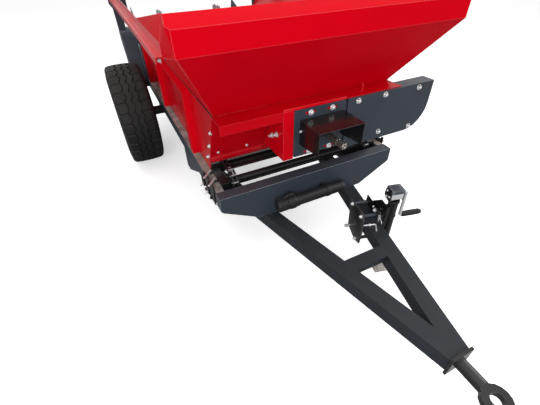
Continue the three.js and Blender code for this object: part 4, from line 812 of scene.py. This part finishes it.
# outlines are distance along the leg and height
jackHead = {
    "cheek": [(-22.0, 524.0), (-12.0, 515.3), (30.0, 515.3), (44.0, 532.0), (41.0, 560.0),
              (32.0, 583.3), (-16.0, 583.3), (-22.0, 566.0)],
    "cheeksAt": ((-38.0, -34.0), (34.0, 38.0)), "cheekEdge": 0.8,
    "coverLow": (-35.0, -24.0, 564.3), "coverHigh": (37.5, 40.0, 585.3), "coverFold": 7.0,
    "coverEdge": 0.9, "wall": 2.0, "hollow": 12.0,
    "housingLow": (-33.5, -21.5, 526.0), "housingHigh": (33.5, 38.0, 570.3), "housingFold": 5.0,
    "housingEdge": 1.0,
    "screw": {"washer": 7.5, "washerThick": 1.2, "head": 6.0, "height": 4.0},
    "screws": [(22.0, 566.0), (-6.0, 542.0), (20.0, 530.0)], "screwFace": -38.0,
}


def makeJackHead():
    size = jackHead
    cheeks = [addPlate(size["cheek"], *place, 0) for place in size["cheeksAt"]]
    for cheek in cheeks:
        roundEdges(cheek, size["cheekEdge"])
    finishJack(cheeks, "jackHeadCheeks", "black_paint", "jack", edged=True)
    cover = addBox(size["coverLow"], size["coverHigh"])
    front, top = size["coverLow"][1] + closeBy, size["coverHigh"][2] - closeBy
    bevelEdges(cover, size["coverFold"], lambda a, b: min(a.z, b.z) > top and max(a.y, b.y) < front)
    pick(cover, "FACE", lambda centre, normal: normal.z < -squareOn)
    bpy.ops.mesh.inset(thickness=size["wall"] * unit)
    bpy.ops.mesh.extrude_region_move(
        TRANSFORM_OT_translate={"value": (0.0, 0.0, size["hollow"] * unit)})
    endEdit()
    roundEdges(cover, size["coverEdge"])
    finishJack([cover], "jackHeadCover", "anthracite_paint", "jack", edged=True)
    housing = addBox(size["housingLow"], size["housingHigh"])
    front, foot = size["housingLow"][1] + closeBy, size["housingLow"][2] + closeBy
    bevelEdges(housing, size["housingFold"],
               lambda a, b: max(a.y, b.y) < front and max(a.z, b.z) < foot)
    places = [((size["screwFace"], v, z), toRight) for v, z in size["screws"]]
    parts = [roundEdges(housing, size["housingEdge"]), bolts(size["screw"], places)]
    finishJack(parts, "jackHeadHousing", "zinc", "jack", ("jack_head",))


crank = {
    "arm": [(32.0, -8.0, 566.0), (55.0, -8.0, 566.0), (55.0, -8.0, 405.0), (67.0, -8.0, 405.0)],
    "armRadius": 9.0, "armBend": 24.0, "spindle": 6.0, "spindleEnd": (82.0, -8.0, 405.0),
    "boss": 12.0, "bossFrom": (38.0, -8.0, 566.0), "bossTo": (44.0, -8.0, 566.0), "bossEdge": 1.5,
    "gripAt": (62.0, -8.0, 405.0), "ribs": 32, "ribInset": 0.5, "ribOut": 1.3,
    "ribTilt": 0.15,
    "grip": [(0.0, 9.5), (1.5, 12.5), (5.0, 14.5), (10.0, 14.5), (60.0, 15.3), (108.0, 14.5),
             (116.0, 13.0), (120.0, 8.5)],
}


def makeCrank():
    size = crank
    arm = addBentBar(size["arm"], size["armRadius"], size["armBend"])
    spindle = addRod(size["spindle"], size["arm"][2], size["spindleEnd"], sides=20)
    boss = addRod(size["boss"], size["bossFrom"], size["bossTo"], sides=28)
    roundEdges(boss, size["bossEdge"])
    finishJack([arm, spindle, boss], "crankArm", "zinc", "crank", ("crank_arm",))
    grip = addTurned(size["gripAt"], toLeft, size["grip"], size["ribs"])
    y, z = size["gripAt"][1:]
    raiseRibs(grip, size["ribInset"], size["ribOut"], lambda centre, normal: (
        abs(normal.x) < size["ribTilt"] and everySecond(centre, y, z, size["ribs"])))
    finishJack([grip], "crankGrip", "black_plastic", "grip", ("crank_grip",))


# rings are open where the leg slides through: foot, outer radius and height of each
jackTube = {
    "rings": [(500.0, 31.0, 12.0), (404.0, 30.0, 8.0), (150.2, 29.5, 10.0)], "bore": 27.3,
    "lip": 0.2,
    "pivot": {"washer": 13.0, "washerThick": 1.5, "head": 11.0, "height": 8.0, "stud": 6.0,
              "studOut": 4.0}, "pivotAt": (-49.4, 72.0, 388.0),
    "small": {"washer": 8.5, "washerThick": 1.5, "head": 6.5, "height": 5.0},
    "smallAt": (-43.7, 103.0, 389.0),
}


def makeJackTubeParts():
    size, rings = jackTube, []
    bore, lip = size["bore"], size["lip"]
    for foot, out, height in size["rings"]:
        ring = addTurned((0.0, 0.0, foot), (0, 0, 1), [
            (0.0, bore), (lip, out), (height, out), (height + lip, bore)])
        pick(ring, "FACE", lambda centre, normal: math.hypot(centre.x, centre.y) < closeBy)
        bpy.ops.mesh.delete(type="FACE")
        endEdit()
        pick(ring, "EDGE",
             lambda a, b: max(math.hypot(a.x, a.y), math.hypot(b.x, b.y)) < bore + closeBy)
        bpy.ops.mesh.bridge_edge_loops()
        endEdit()
        rings.append(ring)
    finishJack(rings, "jackTubeRings", "black_paint", "jack")
    nuts = [bolts(size[key], [(size[key + "At"], toRight)]) for key in ("pivot", "small")]
    finishJack(nuts, "jackPivotBolts", "zinc")


makeJackBracket()
makeLockPins()
makeHairpin()
makeJackHead()
makeCrank()
makeJackTubeParts()
print("jack")

# tyres with zigzag grooves and shoulder blocks; a pattern this fine is set out point by point

tyre = {
    "axle": (1010.15, 419.84), "track": 800.0, "periods": 32, "crown": 419.4, "crownDrop": 2.4,
    "grooves": (-50.0, 0.0, 50.0), "grooveDepth": 9.5, "grooveHalf": 3.8, "grooveTop": 7.0,
    "sway": 8.0, "swayFlat": 0.2, "swaySlope": 0.3,
    "columns": (0.0, 0.07, 0.13, 0.34, 0.5, 0.66, 0.87, 0.93), "gaps": (0.0, 0.07, 0.93),
    "gapDepth": 6.5, "gapSide": 0.8, "gapX": (74.0, 137.5), "gapFoot": 356.0, "treadFoot": 400.0,
    "half": [(108.0, 205.0), (120.0, 209.0), (130.0, 224.0), (139.0, 252.0), (144.5, 290.0),
             (144.0, 322.0), (140.0, 350.0), (137.0, 356.0), (137.5, 372.0), (134.0, 388.0),
             (127.0, 401.0), (117.0, 409.5), (106.0, 413.4), (92.0, 415.4), (74.0, 416.8)],
}


# flat, slope, flat, slope: the zigzag of a groove over one period, from -1 to 1
def swayAt(share):
    flat, slope = tyre["swayFlat"], tyre["swaySlope"]
    if share < flat:
        return -1.0
    if share < flat + slope:
        return -1.0 + 2.0 * (share - flat) / slope
    if share < 2.0 * flat + slope:
        return 1.0
    return 1.0 - 2.0 * (share - 2.0 * flat - slope) / slope


# one cross section: the sides with the gap between two blocks, and the grooved middle
def tyreRing(share):
    size, ring, middle = tyre, [], []
    (inner, outer), foot = size["gapX"], size["treadFoot"]
    for x, radius in size["half"]:
        inGap = share in size["gaps"] and inner <= x <= outer and radius >= size["gapFoot"]
        deep = size["gapDepth"] if inGap else 0.0
        if radius < foot:
            ring.append((x - deep * size["gapSide"], radius))
        else:
            ring.append((x, radius - deep))
    half, top, depth = size["grooveHalf"], size["grooveTop"], size["grooveDepth"]
    for centre in size["grooves"]:
        at = centre + size["sway"] * swayAt(share)
        for offset, down in ((-top, 0.0), (-half, depth), (half, depth), (top, 0.0)):
            x = at + offset
            middle.append((x, size["crown"] - size["crownDrop"] * (x / inner) ** 2 - down))
    return [(-x, radius) for x, radius in ring] + middle + ring[::-1]


def makeTyre(name, side, body, node):
    size, points, faces = tyre, [], []
    axleY, axleZ = size["axle"]
    shares = [(period, share) for period in range(size["periods"]) for share in size["columns"]]
    for period, share in shares:
        angle = math.tau * (period + share) / size["periods"]
        for x, radius in tyreRing(share):
            points.append(toMetres((side * size["track"] + x, axleY - radius * math.cos(angle),
                                    axleZ + radius * math.sin(angle))))
    count = len(points) // len(shares)
    for i in range(len(shares)):
        here, after = i * count, ((i + 1) % len(shares)) * count
        for k in range(count):
            further = (k + 1) % count
            faces.append((here + k, here + further, after + further, after + k))
    mesh = bpy.data.meshes.new(name)
    mesh.from_pydata(points, [], faces)
    piece = addObject(name, mesh)
    useOnly(piece)
    bpy.ops.object.mode_set(mode="EDIT")
    endEdit()
    finishPiece(piece, name, "tyre_rubber", body, (node,), smooth=32.0)


makeTyre("tyreLeft", 1.0, "wheel_left", "tyre_left")
makeTyre("tyreRight", -1.0, "wheel_right", "tyre_right")
print("tyres")

# wheel nuts and a domed grease cap on each hub

wheelNuts = {
    "circle": 92.0, "face": 844.3, "count": 6,
    "nut": {"washer": 15.6, "washerThick": 1.5, "head": 14.8, "height": 15.5, "stud": 7.4,
            "studOut": 7.0},
}
hubCap = {"face": 861.4, "profile": [
    (0.0, 46.0), (0.0, 50.0), (2.0, 50.0), (3.0, 45.0), (10.0, 43.0), (15.0, 38.0), (18.0, 28.0),
    (19.0, 10.0)]}


def makeWheelNuts(name, side, body):
    size, places = wheelNuts, []
    axleY, axleZ = tyre["axle"]
    for i in range(size["count"]):
        angle = math.tau * i / size["count"]
        places.append(((side * size["face"], axleY + size["circle"] * math.cos(angle),
                        axleZ + size["circle"] * math.sin(angle)), (side, 0.0, 0.0)))
    finishPiece(bolts(size["nut"], places), name, "zinc", body)


def makeHubCap(name, side, body):
    cap = addTurned((side * hubCap["face"], *tyre["axle"]), (side, 0, 0), hubCap["profile"])
    finishPiece(cap, name, "cast_black", body)


makeWheelNuts("wheelNutsLeft", 1.0, "wheel_left")
makeWheelNuts("wheelNutsRight", -1.0, "wheel_right")
makeHubCap("hubCapLeft", 1.0, "wheel_left")
makeHubCap("hubCapRight", -1.0, "wheel_right")
print("wheel nuts")

# bolts and a black rod on the hopper's front corners that paints the shadow in the gap there, a
# hook on its ledge

hopperBolts = {
    "bolt": {"washer": 12.5, "washerThick": 2.0, "head": 9.5, "height": 7.5, "stud": 4.5,
             "studOut": 4.0},
    "side": [(-521.8, 854.0), (-453.8, 747.0), (-384.0, 644.0)], "sideFace": 527.3,
    "rim": [-641.0, -300.0, 300.0, 900.0], "rimFace": 709.5, "rimHeight": 1258.0,
    "strip": [(-486.0, -447.0, 700.0), (-314.0, -447.0, 701.0)], "stripWay": (0.0, -0.894, -0.448),
    "postBolt": {"washer": 16.0, "washerThick": 2.0, "head": 12.5, "height": 10.0, "stud": 6.0,
                 "studOut": 14.0},
    "post": [(-209.4, -628.0, 818.0), (-209.4, -578.0, 792.0)],
}
# thin black rods along the flare's side edges: painted shadow of the gap between flare and side
# wall
shadowStrip = {"radius": 2.2, "low": (528.5, -588.0, 968.0), "high": (703.0, -690.0, 1272.0)}
hook = {"wire": 4.0, "bend": 8.0,
        "points": [(287.0, -660.0, 963.6), (289.0, -660.0, 999.6), (297.0, -646.0, 1005.6)]}


def makeHopperBolts():
    size, places = hopperBolts, []
    for side in (-1.0, 1.0):
        out = (side, 0.0, 0.0)
        places += [((side * size["sideFace"], y, z), out) for y, z in size["side"]]
        places += [((side * size["rimFace"], y, size["rimHeight"]), out) for y in size["rim"]]
    places += [(place, size["stripWay"]) for place in size["strip"]]
    finishPiece(bolts(size["bolt"], places), "hopperBolts", "zinc")
    places = [(place, toRight) for place in size["post"]]
    finishPiece(bolts(size["postBolt"], places), "postBolts", "zinc")


def makeShadowStrips():
    bars = []
    for side in (-1.0, 1.0):
        ends = [(side * x, y, z) for x, y, z in (shadowStrip["low"], shadowStrip["high"])]
        bars.append(addRod(shadowStrip["radius"], *ends, sides=12))
    finishPiece(joinPieces(bars), "cornerShadowStrips", "black_plastic")


def makeHook():
    wire = addBentBar(hook["points"], hook["wire"], hook["bend"])
    finishPiece(wire, "ledgeHook", "red_paint")


makeHopperBolts()
makeShadowStrips()
makeHook()
print("hopper bolts")

# bolts that clamp the front bearing blocks to the rails; they lie askew over the rail
clampBolt = {
    "places": (-567.0, -481.0), "rod": 6.5, "bend": 7.0,
    "path": [(536.0, 60.0, 556.0), (536.0, 60.0, 575.0), (594.0, 0.0, 575.0), (600.0, -6.0, 570.0)],
    "pin": 5.5, "pinEnds": [(600.0, -4.0, 553.0), (626.0, -16.0, 544.0)], "pinEdge": 1.5,
    "block": [(593.0, -21.0, 534.0), (607.0, 17.0, 578.0)], "blockEdge": 3.0,
}


def makeClampBolts(name, side):
    size, bars, blocks = clampBolt, [], []
    for place in size["places"]:
        path, ends, corners = ([(side * x, place + y, z) for x, y, z in size[key]]
                               for key in ("path", "pinEnds", "block"))
        bars.append(addBentBar(path, size["rod"], size["bend"]))
        bars.append(roundEdges(addRod(size["pin"], *ends, sides=20), size["pinEdge"]))
        low = [min(pair) for pair in zip(*corners)]
        high = [max(pair) for pair in zip(*corners)]
        blocks.append(roundEdges(addBox(low, high), size["blockEdge"], 3))
    finishPiece(joinPieces(bars), name, "zinc")
    finishPiece(joinPieces(blocks), name + "Blocks", "black_paint")


makeClampBolts("clampBoltsLeft", 1.0)
makeClampBolts("clampBoltsRight", -1.0)
print("clamp bolts")

# cross bars and pin heads of the floor chains at the front turn, a short chain in the drive bay

chainLook = {
    "x": 450.0, "y": -533.85, "z": 545.5, "angles": (124.0, 90.0, 56.0, 22.0, -12.0, -46.0),
    "bar": 5.0, "barAt": 74.0, "barHalf": 13.0, "barEdge": 1.2, "pin": 4.2, "pinAt": 64.0,
    "pinHalf": 21.0,
}
bayChain = {
    "x": 257.0, "z": 541.0, "front": -602.0, "back": -470.0, "half": 12.0, "thick": 3.0,
    "stripHalf": 8.0, "stripEdge": 0.8, "pin": 5.0, "pinHalf": 16.0, "pitch": 25.4,
    "plateLow": (278.0, -606.0, 503.0), "plateHigh": (424.0, -414.0, 507.0), "plateEdge": 1.0,
}


def makeChainDetail():
    size, bars = chainLook, []
    for x in (-size["x"], size["x"]):
        for angle in size["angles"]:
            ahead, up = math.cos(math.radians(angle)), math.sin(math.radians(angle))
            for key in ("bar", "pin"):
                y, z = size["y"] - size[key + "At"] * ahead, size["z"] + size[key + "At"] * up
                half = size[key + "Half"]
                bars.append(addRod(size[key], (x - half, y, z), (x + half, y, z), sides=16))
            roundEdges(bars[-2], size["barEdge"], 1)
    finishPiece(joinPieces(bars), "chainBars", "worn_steel")


def makeBayChain():
    size, parts = bayChain, []
    x, z, up = size["x"], size["z"], size["stripHalf"]
    for left in (x - size["half"], x + size["half"] - size["thick"]):
        strip = addBox((left, size["front"], z - up), (left + size["thick"], size["back"], z + up))
        parts.append(roundEdges(strip, size["stripEdge"], 1))
    y, half = size["front"] + up, size["pinHalf"]
    while y < size["back"]:
        parts.append(addRod(size["pin"], (x - half, y, z), (x + half, y, z), sides=16))
        y += size["pitch"]
    plate = addBox(size["plateLow"], size["plateHigh"])
    parts.append(roundEdges(plate, size["plateEdge"], 1))
    finishPiece(joinPieces(parts), "bayChain", "cast_black")


makeChainDetail()
makeBayChain()
print("chains")

# camera at the photograph's viewpoint, lamps and floor; lengths here are in metres

camera = {
    "lens": 21.307, "sensor": 36.0, "near": 0.05, "place": (-0.895, -1.97985, 1.60),
    "right": (0.8976, -0.4404, -0.0195), "up": (0.2925, 0.5620, 0.7737),
    "back": (-0.3298, -0.7002, 0.6333),
}


def makeCamera():
    bpy.ops.object.camera_add()
    eye = bpy.context.object
    eye.data.lens = camera["lens"]
    eye.data.sensor_width = camera["sensor"]
    eye.data.sensor_fit = "HORIZONTAL"
    eye.data.clip_start = camera["near"]
    axes = [Vector(camera[key]) for key in ("right", "up", "back")]
    turn = Matrix(axes).transposed().to_4x4()
    eye.matrix_world = Matrix.Translation(camera["place"]) @ turn
    bpy.context.scene.camera = eye


lamps = {
    "skyPanel": {"place": (0.0, 0.0, 5.5), "size": (7.0, 8.0), "power": 175.0,
                 "aim": (0.0, 0.3, 0.4)},
    "frontPanel": {"place": (-3.2, -5.5, 3.2), "size": (4.0, 3.0), "power": 235.0,
                   "aim": (0.0, -0.4, 0.7)},
    "sidePanel": {"place": (4.5, -2.0, 3.0), "size": (3.0, 3.0), "power": 90.0,
                  "aim": (0.0, 0.0, 0.7)},
}


def makeLamps():
    for name, lamp in lamps.items():
        bpy.ops.object.light_add(type="AREA", location=lamp["place"])
        light = bpy.context.object
        light.name = name
        light.data.shape = "RECTANGLE"
        light.data.size, light.data.size_y = lamp["size"]
        light.data.energy = lamp["power"]
        look = Vector(lamp["aim"]) - Vector(lamp["place"])
        light.rotation_euler = look.to_track_quat("-Z", "Y").to_euler()


# white to the eye and in reflections, and half as strong as light
studio = {"white": (1.0, 1.0, 1.0, 1.0), "lightStrength": 0.5, "floorSize": 40.0,
          "floorSeen": (0.9, 0.9, 0.9, 1.0), "floorLight": (0.42, 0.42, 0.42, 1.0),
          "floorGlow": 0.5, "floorRoughness": 0.9}


def makeWorld():
    world = bpy.data.worlds.new("paleStudio")
    bpy.context.scene.world = world
    world.use_nodes = True
    tree = world.node_tree
    path = addNode(tree, "ShaderNodeLightPath").outputs
    seen = mathNode(tree, "MAXIMUM", path["Is Camera Ray"], path["Is Transmission Ray"])
    seen = mathNode(tree, "MAXIMUM", seen, path["Is Glossy Ray"])
    strength = mapRange(tree, seen, 0.0, 1.0, studio["lightStrength"], 1.0)
    feed(tree, tree.nodes["Background"], {"Color": studio["white"], "Strength": strength})


# pale to the eye, greyer to the rest, so that the undersides stay dark
def makeFloor():
    bpy.ops.mesh.primitive_plane_add(size=studio["floorSize"], location=(0.0, 0.0, 0.0))
    floor = bpy.context.object
    floor.name = "studioFloor"
    material = bpy.data.materials.new("paleFloor")
    material.use_nodes = True
    tree = material.node_tree
    seen = addNode(tree, "ShaderNodeLightPath").outputs["Is Camera Ray"]
    feed(tree, tree.nodes["Principled BSDF"], {
        "Base Color": mixColour(tree, seen, studio["floorLight"], studio["floorSeen"]),
        "Roughness": studio["floorRoughness"], "Specular IOR Level": 0.0,
        "Emission Color": studio["white"],
        "Emission Strength": mathNode(tree, "MULTIPLY", seen, studio["floorGlow"])})
    floor.data.materials.append(material)


makeCamera()
makeLamps()
makeWorld()
makeFloor()
bpy.context.scene.view_settings.view_transform = "Standard"
print("camera, lamps and floor")
